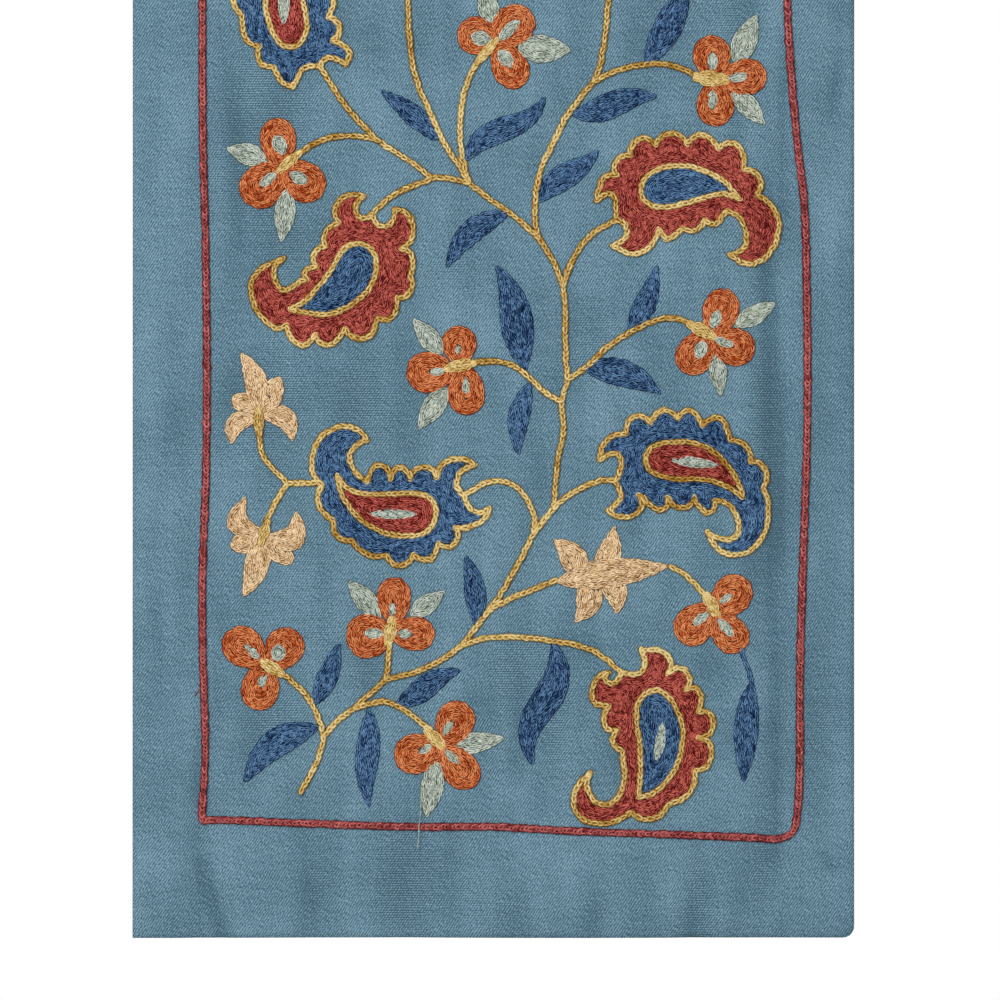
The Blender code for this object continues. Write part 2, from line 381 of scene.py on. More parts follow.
            ((69.3, 62.6), (64.3, 60), (58.3, 57.5), (50.3, 57.5), (43.8, 60), (40.3, 65), (40.1, 71),
             (42.8, 77)),
            ((48.3, 82.5), (46.8, 78), (47.8, 72), (51.8, 67.5), (56.8, 66.5), (61.8, 70), (64.8, 76),
             (65.5, 82), (64.9, 88)),
            ((64.4, 93.7), (60.8, 96), (59.3, 99.8)),
            ((62.2, 104.6), (57.8, 103.5), (55.3, 107), (55.1, 112)),
            ((57.8, 116.2), (53.3, 116.3), (50.3, 118), (49.3, 123), (50.8, 128.5), (53.3, 131.5)),
            ((57.1, 132.7), (55.5, 129.5), (57.8, 127.2), (61.3, 128), (63.3, 130.5)),
        ),
        "drop": ((72.8, 70.5), (73.3, 79), (73.6, 89), (72.8, 99), (71.5, 107), (71.7, 115), (74.3, 121),
                 (79.3, 123.7), (84.3, 123), (88.8, 119), (92.8, 112), (94.8, 104), (94.3, 95), (91.3, 85),
                 (85.3, 77), (79.3, 72)),
        "core": {"base": (81.5, 87), "tip": (85, 109), "width": 5.3, "blunt": 0.4},
    },
)

# Three-petal flowers. Each petal is an oval round a pale core. The bulb is a stem's end that widens
FLOWERS = (
    {
        "petals": (
            {"middle": (9.7, 456), "angle": 45, "length": 23.5, "width": 20,
             "core": {"base": (2.1, 448.4), "tip": (13.3, 459.7), "width": 6.1}},
            {"middle": (-8.5, 451.3), "angle": 163, "length": 19.5, "width": 18.8,
             "core": {"base": (-0.6, 448.8), "tip": (-11.6, 451.4), "width": 8.1}},
            {"middle": (8.2, 435.8), "angle": -62, "length": 23, "width": 18,
             "core": {"base": (2.6, 444.8), "tip": (9.3, 435.2), "width": 7.7}},
        ),
        "bulb": {"base": (-8.5, 437.5), "tip": (1.5, 449.5), "width": 5.6},
        "leaves": (
            {"base": (-1, 457), "tip": (-5, 478), "width": 10.5},
            {"base": (13.5, 445), "tip": (39.5, 444.1), "width": 14},
        ),
    },
    {
        "petals": (
            {"middle": (-107.6, 398.8), "angle": 93, "length": 22.5, "width": 17.9,
             "core": {"base": (-104.6, 391.2), "tip": (-109, 401.8), "width": 7.5}},
            {"middle": (-115.8, 376.3), "angle": 225, "length": 23.5, "width": 21.5,
             "core": {"base": (-108, 383.5), "tip": (-117.2, 375.4), "width": 5.5}},
            {"middle": (-94.7, 378.3), "angle": -37, "length": 22.5, "width": 19.8,
             "core": {"base": (-102.2, 382.9), "tip": (-92.6, 377.5), "width": 7.1}},
        ),
        "bulb": {"base": (-96, 393.5), "tip": (-108, 383), "width": 5.5},
        "leaves": (
            {"base": (-115, 389.5), "tip": (-133.8, 395.3), "width": 11},
            {"base": (-103, 373), "tip": (-106.3, 347.5), "width": 10.7},
        ),
    },
    {
        "petals": (
            {"middle": (109.2, 441), "angle": 91, "length": 20.5, "width": 18.7,
             "core": {"base": (109.6, 433), "tip": (109.6, 443.6), "width": 5.7}},
            {"middle": (125.7, 430.6), "angle": 5, "length": 22, "width": 18,
             "core": {"base": (116.2, 429.2), "tip": (127.9, 431.5), "width": 5.3}},
            {"middle": (110.9, 416.5), "angle": -88, "length": 21, "width": 18.5,
             "core": {"base": (109.6, 424.8), "tip": (109.7, 413.8), "width": 5.4}},
        ),
        "bulb": {"base": (100, 430.5), "tip": (117, 429), "width": 8},
        "leaves": (
            {"base": (121.5, 438.5), "tip": (131.8, 462), "width": 12.5},
            {"base": (120.5, 424), "tip": (135.8, 406.5), "width": 10.5},
        ),
    },
    {
        "petals": (
            {"middle": (-17.1, 297.4), "angle": 91, "length": 17.3, "width": 17.3,
             "core": {"base": (-17.5, 291.2), "tip": (-17.8, 297), "width": 4}},
            {"middle": (-32.5, 283), "angle": 182, "length": 22, "width": 20.3,
             "core": {"base": (-23.3, 283.8), "tip": (-32.6, 282.9), "width": 4.9}},
            {"middle": (-13.7, 273), "angle": -86, "length": 23, "width": 18.7,
             "core": {"base": (-13.9, 280.8), "tip": (-13.8, 271.1), "width": 4.5}},
        ),
        "bulb": {"base": (-8.5, 287.8), "tip": (-24.5, 284.8), "width": 6.8},
        "leaves": (
            {"base": (-27, 293.5), "tip": (-40.3, 310), "width": 10.5},
            {"base": (-24.5, 273.5), "tip": (-38, 254.5), "width": 11},
        ),
    },
    {
        "petals": (
            {"middle": (113.6, 313.3), "angle": 74, "length": 23.3, "width": 18,
             "core": {"base": (109.2, 303.9), "tip": (112.9, 314.4), "width": 6.1}},
            {"middle": (120.5, 295.4), "angle": -14, "length": 20.5, "width": 19,
             "core": {"base": (109.6, 299.8), "tip": (121.3, 296), "width": 4.7}},
            {"middle": (101, 292), "angle": 242, "length": 22, "width": 18.5,
             "core": {"base": (105.8, 299.3), "tip": (101.7, 289.6), "width": 7.1}},
        ),
        "bulb": {"base": (97, 307.5), "tip": (110.5, 300.5), "width": 6.5},
        "leaves": (
            {"base": (122.5, 307), "tip": (141.5, 318), "width": 10},
            {"base": (111.3, 293), "tip": (113.8, 270), "width": 9},
        ),
    },
    {
        "petals": (
            {"middle": (-49.7, 169.7), "angle": 91, "length": 21, "width": 17,
             "core": {"base": (-50.6, 159.6), "tip": (-50.5, 168.8), "width": 4.2}},
            {"middle": (-62.8, 151), "angle": 186, "length": 21.5, "width": 22,
             "core": {"base": (-54.3, 152.4), "tip": (-65.3, 152.1), "width": 5.7}},
            {"middle": (-39.7, 152.2), "angle": -3, "length": 20.7, "width": 17,
             "core": {"base": (-48.5, 152.1), "tip": (-40.5, 151.8), "width": 5.6}},
        ),
        "bulb": {"base": (-53, 146), "tip": (-50.5, 160), "width": 6.2},
        "leaves": (
            {"base": (-58, 162), "tip": (-72.8, 178.8), "width": 11},
            {"base": (-40, 161.8), "tip": (-24.5, 173.5), "width": 10},
        ),
    },
    {
        "petals": (
            {"middle": (-125, 145.5), "angle": 140, "length": 22, "width": 19.5,
             "core": {"base": (-116.2, 139), "tip": (-124.4, 146.5), "width": 4.3}},
            {"middle": (-104.6, 145), "angle": 56, "length": 20.5, "width": 19,
             "core": {"base": (-109.7, 138.4), "tip": (-105.8, 146.7), "width": 8.3}},
            {"middle": (-116.6, 124.9), "angle": 258, "length": 22.3, "width": 18.7,
             "core": {"base": (-113.7, 132.3), "tip": (-117.3, 124.7), "width": 5}},
        ),
        "bulb": {"base": (-105, 131.5), "tip": (-116, 138.3), "width": 6.5},
        "leaves": (),
    },
    {
        "petals": (
            {"middle": (-19.3, 107.8), "angle": 63, "length": 22, "width": 19,
             "core": {"base": (-25.3, 101), "tip": (-20.2, 109), "width": 4.4}},
            {"middle": (-38.7, 92), "angle": 198, "length": 22, "width": 20,
             "core": {"base": (-30.3, 96.7), "tip": (-37.1, 92.3), "width": 4.6}},
            {"middle": (-16.8, 84.8), "angle": -52, "length": 23.5, "width": 17.8,
             "core": {"base": (-24.5, 94.3), "tip": (-17.3, 86.7), "width": 4.8}},
        ),
        "bulb": {"base": (-34, 104.5), "tip": (-25.2, 95.3), "width": 5.8},
        "leaves": (
            {"base": (-19.5, 96), "tip": (5.8, 100), "width": 10.5},
            {"base": (-28.5, 87), "tip": (-33.8, 59.5), "width": 11.5},
        ),
    },
    {
        "petals": (
            {"middle": (119.3, 171.3), "angle": 50, "length": 22, "width": 19.3,
             "core": {"base": (112.7, 166.7), "tip": (119.8, 172.5), "width": 4.1}},
            {"middle": (100.6, 156.5), "angle": 227, "length": 22, "width": 19.3,
             "core": {"base": (108.5, 163.3), "tip": (99.2, 156.2), "width": 4.8}},
            {"middle": (118.3, 152), "angle": -48, "length": 21, "width": 17.5,
             "core": {"base": (111.8, 160.4), "tip": (120.3, 150.3), "width": 5.4}},
        ),
        "bulb": {"base": (105.8, 172.5), "tip": (112, 161), "width": 6.8},
        "leaves": (),
    },
    {
        "petals": (
            {"middle": (-25.5, 539.8), "angle": 65, "length": 22, "width": 19,
             "core": {"base": (-29, 531), "tip": (-25, 540), "width": 5.2}},
            {"middle": (-44.5, 528.5), "angle": 178, "length": 22, "width": 19,
             "core": {"base": (-34, 528.5), "tip": (-44, 528.5), "width": 5.2}},
            {"middle": (-22, 518), "angle": -48, "length": 22, "width": 19,
             "core": {"base": (-28, 525), "tip": (-21, 517), "width": 5.2}},
        ),
        "bulb": {"base": (-36, 517), "tip": (-31, 528), "width": 6.5},
        "leaves": (
            {"base": (-36.5, 537.5), "tip": (-47, 555.7), "width": 9.5},
            {"base": (-20, 529.5), "tip": (0, 532.3), "width": 9},
        ),
    },
    {
        "petals": (
            {"middle": (98, 533.4), "angle": 40, "length": 22, "width": 19,
             "core": {"base": (90, 527), "tip": (98, 533.5), "width": 5.2}},
            {"middle": (76.3, 531.8), "angle": 150, "length": 22, "width": 19,
             "core": {"base": (86, 528), "tip": (76.5, 532), "width": 5.2}},
            {"middle": (92.6, 512.3), "angle": -70, "length": 22, "width": 19,
             "core": {"base": (88.5, 521.5), "tip": (92, 512), "width": 5.2}},
        ),
        "bulb": {"base": (79, 517), "tip": (88, 525), "width": 6.5},
        "leaves": (
            {"base": (99.6, 521.9), "tip": (120.8, 516.2), "width": 9.5},
            {"base": (86.9, 538), "tip": (85, 559.9), "width": 9.5},
        ),
    },
)
ROUND_END = 0.9
PETAL_SAMPLES = 120
PETAL_WIDER = 0.08
PETAL_REACH = 2.2

# A bulb's rows: how narrow they are at the neck and the tip, and how soon they spread out
ROWS_APART = 1.6
BULB_NECK = 0.3
BULB_TIP = 0.45
BULB_EASE = 0.45
BULB_SAMPLES = 16

# Blue leaves from base to tip. The spine bows to the left of its way, and sways both ways
BLUE_LEAVES = (
    {"base": (-28, 400), "tip": (-57, 424.5), "width": 10, "bow": -1.0, "sway": 0.0},
    {"base": (77, 438.5), "tip": (98, 480), "width": 14, "bow": -1.5, "sway": 0.0},
    {"base": (-13, 389.5), "tip": (27, 422), "width": 12, "bow": 0.0, "sway": 3.0},
    {"base": (41, 412.5), "tip": (83, 420.5), "width": 13, "bow": 1.0, "sway": -1.5},
    {"base": (24, 369.5), "tip": (53, 394), "width": 12.5, "bow": 1.0, "sway": 1.0},
    {"base": (6, 361), "tip": (-24, 334.5), "width": 11.5, "bow": -5.5, "sway": 0.0},
    {"base": (15, 286), "tip": (1, 337), "width": 16, "bow": -3.0, "sway": 1.0},
    {"base": (68, 303.5), "tip": (82, 337), "width": 10.5, "bow": -2.0, "sway": 0.0},
    {"base": (47, 284), "tip": (84, 272), "width": 13.5, "bow": 4.0, "sway": 0.0},
    {"base": (18, 275.5), "tip": (12.5, 241), "width": 10.5, "bow": -3.0, "sway": 0.0},
    {"base": (-9, 158), "tip": (-14, 192), "width": 10.5, "bow": -2.0, "sway": 0.0},
    {"base": (-89, 118.5), "tip": (-77, 148), "width": 10.5, "bow": -1.0, "sway": 0.0},
    {"base": (-89, 104), "tip": (-125, 77), "width": 14, "bow": -6.5, "sway": 0.0},
    {"base": (-62.5, 112.5), "tip": (-62, 64.5), "width": 11.5, "bow": -1.0, "sway": 1.0},
    {"base": (-47, 117.5), "tip": (-16, 134), "width": 11.5, "bow": 1.0, "sway": -1.0},
    {"base": (29, 146), "tip": (20, 85), "width": 14.5, "bow": 0.0, "sway": 5.0},
    {"base": (128.5, 125), "tip": (125, 77), "width": 12, "bow": -0.5, "sway": 0.0},
    {"base": (-44, 494), "tip": (-62, 532), "width": 11.5, "bow": -2.0, "sway": 0.0},
    {"base": (-41, 480), "tip": (-8, 502), "width": 12.5, "bow": 0.0, "sway": 2.0},
    {"base": (59, 488), "tip": (30, 522), "width": 13, "bow": 3.0, "sway": 0.0},
    {"base": (64, 500), "tip": (100, 494), "width": 12, "bow": 3.0, "sway": 0.0},
)
# The one leaf that hangs from a flower has a thin stalk of the same yarn
LEAF_STALK = ((124.0, 145), (125, 140.5), (128, 133), (130, 124))

# Lilies: petals from base to tip, each worked over the ones before it, and the yellow column over them all
LILIES = (
    {
        "petals": (
            {"base": (-117, 260), "tip": (-107, 280.5), "width": 12, "blunt": 0.8},
            {"base": (-117, 261), "tip": (-131, 270.5), "width": 11.5, "bow": -1.0, "blunt": 0.8},
            {"base": (-117, 261), "tip": (-100.5, 248), "width": 11, "bow": 7.0, "blunt": 0.1},
            {"base": (-118, 259), "tip": (-131, 246.8), "width": 10, "bow": -6.0, "blunt": 0.1},
            {"base": (-118, 262), "tip": (-126.7, 293.3), "width": 11.5, "bow": -3.5},
        ),
        "column": {"base": (-117, 251), "tip": (-117.7, 264.5), "width": 5},
    },
    {
        "petals": (
            {"base": (-117, 200), "tip": (-131.5, 195.5), "width": 11, "blunt": 0.8},
            {"base": (-114, 200), "tip": (-100.5, 187.5), "width": 11.5, "blunt": 0.8},
            {"base": (-115, 203), "tip": (-124, 220), "width": 11, "bow": 9.0, "blunt": 0.3},
            {"base": (-114, 201), "tip": (-98.5, 213.5), "width": 12.5, "bow": -9.0, "blunt": 0.2},
            {"base": (-117, 204), "tip": (-125.5, 170), "width": 12.5, "bow": 3.0},
        ),
        "column": {"base": (-112.5, 209.5), "tip": (-116.5, 197.5), "width": 5},
    },
    {
        "petals": (
            {"base": (43, 178), "tip": (30, 199.3), "width": 13.5, "bow": -3.5},
            {"base": (50, 178), "tip": (60.3, 206), "width": 12.5, "bow": -2.5},
            {"base": (54, 184), "tip": (61.8, 162), "width": 12.5, "bow": 3.0},
            {"base": (45, 182), "tip": (40.8, 157.8), "width": 13.5, "bow": 5.0},
            {"base": (31, 178), "tip": (88.5, 186), "width": 15, "bow": 0.5},
        ),
        "column": None,
    },
)

# The frame: two lines of stitching that wander a little and meet at two corners
FRAME_LINES = (
    ((-146, 58), (-144.2, 93), (-145.5, 146), (-145.6, 179), (-143.8, 234), (-143.4, 290), (-144, 344),
     (-145.4, 401), (-145.6, 469), (-145, 530), (-146, 576)),
    ((-146, 58.5), (-139, 59), (-101, 57.5), (-43, 55.5), (1, 55.5), (39, 53.5), (93, 51.5), (130, 50),
     (143, 49.5), (149.8, 53), (152.2, 65), (153.3, 93), (153.3, 131), (154.6, 180), (156.4, 233),
     (157, 262), (157, 300), (155.4, 368), (152.5, 393), (149, 431), (147, 469), (148, 530), (147, 572),
     (143, 577), (120, 578), (40, 577), (-60, 578), (-146, 577)),
)

LOOSE_THREAD = ((-36.2, 76), (-36.3, 67), (-37.2, 55.7), (-37.9, 44.6))
RED_KNOT = ((-149.7, 120.8), (-147.0, 124.0))

# Lines and outlines

SAMPLE_STEP = 0.35
SPLINE_STEPS = 24
TINY = 1e-9

# A leaf's fullness when it is pointed or round, and how near its base it is widest
LEAF_SAMPLES = 80
POINTED_FULLNESS = 0.9
ROUND_FULLNESS = 0.8
WIDEST_NEAR_BASE = 0.85


def place(spot):
    """A spot of the pattern, given by its numbers or by the name of a fork."""
    return np.array(FORKS[spot] if isinstance(spot, str) else spot, dtype=float)


def unit(angle):
    """The direction at an angle in degrees."""
    return np.array([math.cos(math.radians(angle)), math.sin(math.radians(angle))])


def lengths_along(line):
    """How far along the line each of its points is."""
    steps = np.linalg.norm(np.diff(line, axis=0), axis=1)
    return np.concatenate([[0.0], np.cumsum(steps)])


def read_line(line, along, wanted):
    """Points of the line at the wanted values of along."""
    return np.stack([np.interp(wanted, along, line[:, axis]) for axis in (0, 1)], axis=1)


def evenly(line, step=SAMPLE_STEP):
    """The line again, with points an even step apart."""
    along = lengths_along(line)
    count = max(2, int(round(along[-1] / step)) + 1)
    return read_line(line, along, np.linspace(0.0, along[-1], count))


def smooth_line(points, step=SAMPLE_STEP):
    """A smooth curve through a few points, in even steps (a centripetal spline)."""
    points = np.asarray(points, dtype=float)
    if len(points) == 2:
        return evenly(points, step)
    ends = np.vstack([2 * points[0] - points[1], points, 2 * points[-1] - points[-2]])
    knots = np.concatenate([[0.0], np.cumsum(np.linalg.norm(np.diff(ends, axis=0), axis=1) ** 0.5)])
    pieces = []
    for i in range(1, len(ends) - 2):
        t0, t1, t2, t3 = knots[i - 1:i + 3]
        p0, p1, p2, p3 = ends[i - 1:i + 3]
        t = np.linspace(t1, t2, SPLINE_STEPS, endpoint=False)[:, None]
        a1 = (t1 - t) / (t1 - t0) * p0 + (t - t0) / (t1 - t0) * p1
        a2 = (t2 - t) / (t2 - t1) * p1 + (t - t1) / (t2 - t1) * p2
        a3 = (t3 - t) / (t3 - t2) * p2 + (t - t2) / (t3 - t2) * p3
        b1 = (t2 - t) / (t2 - t0) * a1 + (t - t0) / (t2 - t0) * a2
        b2 = (t3 - t) / (t3 - t1) * a2 + (t - t1) / (t3 - t1) * a3
        pieces.append((t2 - t) / (t2 - t1) * b1 + (t - t1) / (t2 - t1) * b2)
    pieces.append(points[-1:])
    return evenly(np.vstack(pieces), step)


def left_of(line):
    """The direction square to the line at each of its points, to the left of its way."""
    way = np.gradient(line, axis=0)
    way /= np.maximum(np.linalg.norm(way, axis=1, keepdims=True), TINY)
    return np.stack([-way[:, 1], way[:, 0]], axis=1)


def edge_strokes(paisley):
    """The strokes of a paisley's edge, each from one sharp point to the next."""
    strokes = paisley["edge"]
    ends = [stroke[0] for stroke in (*strokes[1:], strokes[0])]
    return [smooth_line([*stroke, end]) for stroke, end in zip(strokes, ends)]


def drop_outline(paisley):
    """The closed line of the drop inside a paisley."""
    return smooth_line([*paisley["drop"], paisley["drop"][0]])[:-1]


def leaf_outline(leaf, reach=0.0):
    """The closed line of a leaf, core or lily's petal. It may start some way before the base."""
    base, tip = place(leaf["base"]), place(leaf["tip"])
    base = base - reach * (tip - base) / np.linalg.norm(tip - base)
    way = tip - base
    square = np.array([-way[1], way[0]]) / np.linalg.norm(way)
    t = np.linspace(0.0, 1.0, LEAF_SAMPLES)
    shift = leaf.get("bow", 0.0) * np.sin(np.pi * t) + leaf.get("sway", 0.0) * np.sin(2 * np.pi * t)
    spine = base + way * t[:, None] + square * shift[:, None]
    blunt = leaf.get("blunt", 0.0)
    pointed = np.sin(np.pi * t ** WIDEST_NEAR_BASE) ** POINTED_FULLNESS
    past_half = 2.0 * np.clip(t, 0.5, 1.0) - 1.0
    rounded = np.sqrt(1.0 - past_half ** 2) * np.sin(np.pi * np.minimum(t, 0.5)) ** ROUND_FULLNESS
    half = 0.5 * leaf["width"] * ((1.0 - blunt) * pointed + blunt * rounded)
    half[0] = half[-1] = 0.0
    left = left_of(spine)
    return np.vstack([spine + left * half[:, None], (spine - left * half[:, None])[-2:0:-1]])


def petal_outline(petal):
    """A petal's closed outer line, an oval that is wider at its far end and drawn out at the near one."""
    out, side = unit(petal["angle"]), unit(petal["angle"] + 90)
    turn = np.radians(np.linspace(0.0, 360.0, PETAL_SAMPLES, endpoint=False))[:, None]
    wider = 1.0 + PETAL_WIDER * np.cos(turn)
    drawn_out = PETAL_REACH * np.clip(-np.cos(turn), 0.0, 1.0) ** 2
    return (place(petal["middle"]) + out * (np.cos(turn) * petal["length"] / 2 - drawn_out)
            + side * np.sin(turn) * wider * petal["width"] / 2)


def rows_of_bulb(bulb):
    """Straight rows next to each other, which spread out from the stem and draw in again at the tip."""
    start, end = place(bulb["base"]), place(bulb["tip"])
    square = np.array([start[1] - end[1], end[0] - start[0]]) / np.linalg.norm(end - start)
    count = max(1, round(bulb["width"] / ROWS_APART))
    share = np.linspace(0.0, 1.0, BULB_SAMPLES)[:, None]
    spread = BULB_NECK + (1.0 - BULB_NECK) * smooth_step(share / BULB_EASE)
    spread *= 1.0 - (1.0 - BULB_TIP) * smooth_step(1.0 - (1.0 - share) / BULB_EASE)
    return [evenly(start + (end - start) * share + square * (number - (count - 1) / 2) * ROWS_APART * spread)
            for number in range(count)]


# Rows that fill a motif, in millimetres but for shares and the turn at a corner, which is in radians

FIRST_ROW = 0.95
BESIDE_OUTLINE = 2.35
BESIDE_SHARE = 0.8
PATCH_INSET = 0.1
LEAF_REACH = 2.5
CORNER_TURN = 0.25
LEAST_ROW = 2.4
DEPTH_SLACK = 0.12
GAP_SHARE = 0.60
LEAST_GAP_ROW = 0.9
GAP_STEP = 0.25
PATCH_STEP = 0.5
PATCH_GAP = 0.93
PATCH_LENGTH = 2.1
POINTS_AT_ONCE = 400


def is_inside(points, outline):
    """Which points lie inside a closed outline."""
    x, h = points[:, 0][:, None], points[:, 1][:, None]
    ax, ah = outline[:, 0], outline[:, 1]
    bx, bh = np.roll(ax, -1), np.roll(ah, -1)
    rise = np.where(bh == ah, TINY, bh - ah)
    crosses = ((ah > h) != (bh > h)) & (x < (bx - ax) * (h - ah) / rise + ax)
    return crosses.sum(axis=1) % 2 == 1


def inward_edge(outline, outwards=False):
    """Even points of a closed outline, each with its direction inwards, and sharp corners fanned out."""
    line = evenly(closed_row(outline))
    way = np.gradient(np.vstack([line[-3:-1], line, line[1:3]]), axis=0)[2:-2]
    heading = np.unwrap(np.arctan2(way[:, 1], way[:, 0]))
    spread = line - line.mean(axis=0)
    area = np.sum(spread[:-1, 0] * spread[1:, 1] - spread[1:, 0] * spread[:-1, 1])
    quarter = math.pi / 2 if (area > 0) != outwards else -math.pi / 2
    points, angles = [line[0]], [heading[0]]
    for i in range(1, len(line)):
        turn = heading[i] - heading[i - 1]
        steps = int(abs(turn) / CORNER_TURN)
        for step in range(1, steps + 1):
            share = step / (steps + 1)
            points.append(line[i - 1] + (line[i] - line[i - 1]) * share)
            angles.append(heading[i - 1] + turn * share)
        points.append(line[i])
        angles.append(heading[i])
    angles = np.array(angles) + quarter
    return np.array(points), np.stack([np.cos(angles), np.sin(angles)], axis=1)


def nearest(points, others):
    """The distance from each point to the nearest of the others, some hundred points at a time."""
    gaps = np.empty(len(points))
    for start in range(0, len(points), POINTS_AT_ONCE):
        part = slice(start, start + POINTS_AT_ONCE)
        apart = points[part, None, :] - others[None, :, :]
        gaps[part] = np.sqrt((apart ** 2).sum(axis=2).min(axis=1))
    return gaps


def runs(kept, closed):
    """The stretches of a line that are kept, as lists of indices. A stretch may pass a closed line's end."""
    index = np.flatnonzero(kept)
    if len(index) == 0:
        return []
    pieces = np.split(index, np.flatnonzero(np.diff(index) > 1) + 1)
    if closed and len(pieces) > 1 and pieces[0][0] == 0 and pieces[-1][-1] == len(kept) - 1:
        pieces[0] = np.concatenate([pieces[-1], pieces[0]])
        pieces.pop()
    return pieces


def inset_rows(edges, first, pitch):
    """Rows parallel to a motif's edges, a pitch apart, and short rows in the gaps between them."""
    border = np.vstack([points for points, _ in edges])
    rows, depth = [], first
    while found := rows_at(edges, border, depth):
        rows += found
        depth += pitch
    for gap_depth in np.arange(first + GAP_STEP * pitch, depth, GAP_STEP * pitch):
        for edge in edges:
            rows += rows_at([edge], border, gap_depth, rows, GAP_SHARE * pitch, LEAST_GAP_ROW)
    return rows


def rows_at(edges, border, depth, others=(), apart=0.0, least=LEAST_ROW):
    """The rows at one depth inside a motif, where they also stay apart from the other rows."""
    made = []
    for points, inward in edges:
        moved = points + inward * depth
        kept = nearest(moved, border) > depth - DEPTH_SLACK
        if others and kept.any():
            kept[kept] = nearest(moved[kept], np.vstack(others)[::2]) > apart
        for run in runs(kept, closed=True):
            line = moved[run]
            if len(line) > 1 and lengths_along(line)[-1] >= least:
                made.append(line)
    return made


def patches(outline, holes, covers, rows, margin):
    """Short stitches where a filled motif would show bare cloth between its rows."""
    low, high = outline.min(axis=0), outline.max(axis=0)
    across, up = (np.arange(low[axis], high[axis], PATCH_STEP) for axis in (0, 1))
    grid = np.stack(np.meshgrid(across, up), axis=-1).reshape(-1, 2)
    grid = grid[is_inside(grid, outline)]
    for shape in (*holes, *covers):
        grid = grid[~is_inside(grid, shape)]
    border = np.vstack([evenly(closed_row(edge)) for edge in (outline, *holes)])
    grid = grid[nearest(grid, border) > margin]
    worked = np.vstack(rows)
    ways = np.vstack([np.gradient(row, axis=0) for row in rows])
    gaps = nearest(grid, worked[::2])
    made = []
    while len(grid) and gaps.max() > PATCH_GAP:
        spot = grid[gaps.argmax()]
        way = ways[np.linalg.norm(worked - spot, axis=1).argmin()]
        half = way / np.linalg.norm(way) * PATCH_LENGTH / 2
        made.append(evenly(np.array([spot - half, spot + half])))
        gaps = np.minimum(gaps, nearest(grid, made[-1]))
    return made


def closed_row(outline):
    """An outline as a row that ends where it starts."""
    return np.vstack([outline, outline[:1]])


def one_row(*spots):
    """A row that runs smoothly through a few spots."""
    return smooth_line([place(spot) for spot in spots])


def clear_all(lines, covers):
    """The stretches of the rows that lie outside all of some outlines."""
    for cover in covers:
        lines = kept_parts(lines, lambda line: ~is_inside(line, cover))
    return lines


def kept_parts(lines, test):
    """The stretches of the rows whose points pass a test, without very short ones."""
    left_over = []
    for line in lines:
        for run in runs(test(line), closed=False):
            if len(run) > 1 and lengths_along(line[run])[-1] >= LEAST_ROW:
                left_over.append(line[run])
    return left_over


# Stitches: each link is a small ring of yarn, and a straight stitch behind the cloth holds it

# Kinds of stitch, in mm. A link is overlap times its pitch long, and neck narrows its start. Sway moves its
# ends, slant and turn turn it, in radians, tone and wander change its tone, and stations count its sections
KINDS = {
    "outline": {"width": 3.45, "pitch": 3.0, "overlap": 1.40, "yarn": 1.84, "neck": 0.12, "sway": 0.15,
                "slant": 0.0, "turn": 0.11, "tone": 0.06, "wander": 0.42, "stations": 10, "held": True},
    "frame": {"width": 3.95, "pitch": 1.9, "overlap": 2.1, "yarn": 2.00, "neck": 0.0, "sway": 0.06,
              "slant": 0.20, "turn": 0.10, "tone": 0.09, "wander": 0.06, "stations": 10, "held": True},
    "fill": {"width": 2.45, "pitch": 3.0, "overlap": 1.36, "yarn": 1.32, "neck": 0.14, "sway": 0.11,
             "slant": 0.0, "turn": 0.14, "tone": 0.13, "wander": 0.08, "stations": 8, "held": True},
    "loose": {"width": 0.55, "pitch": 4.0, "overlap": 1.2, "yarn": 0.30, "neck": 0.0, "sway": 0.05,
              "slant": 0.0, "turn": 0.02, "tone": 0.10, "wander": 0.0, "stations": 8, "held": False},
}
YARN_SIDES = 3
YARN_FLATTENED = 0.52
RING_YARN = 0.25
MERGE_DISTANCE = 1e-4
NUDGE = 0.01
LINK_LIFT = 0.80
LINK_STEP = 0.40
HELD = {"segments": 4, "rings": 3, "length": 0.86, "width": 0.42, "height": 0.28, "behind": 0.2}

# How much yarn runs round a link, in pitches, and round a straight stitch, in widths of the yarn
LINK_ROUND = 2.3
HELD_ROUND = 3

# By how much stitches differ: where each ends, in pitches, its width as a share, and its lift in mm
UNEVEN = {"stop": 0.05, "width": 0.06, "lift": 0.07}

# Slow waves of tone over the pattern: radians to a mm across and up, and where each wave starts
WANDER = ((0.021, 0.034, 0.4), (-0.047, 0.029, 2.1), (0.083, -0.061, 4.0), (0.012, 0.101, 5.2))
SHORTEST_STITCH = 0.65
STRAND_SHIFT = 100.0

# Each stitch has its own cell of the bake map, with a margin, its link below and its straight stitch above
CELL_MARGIN = 0.08
LINK_CELL = {"size": (1.0, 0.70), "corner": (0.0, 0.0)}
HELD_CELL = {"size": (1.0, 0.25), "corner": (0.0, 0.74)}

# Where a share of a turn starts again from 0: a little past 1, so that 1 itself is kept
WRAP = 1.0001


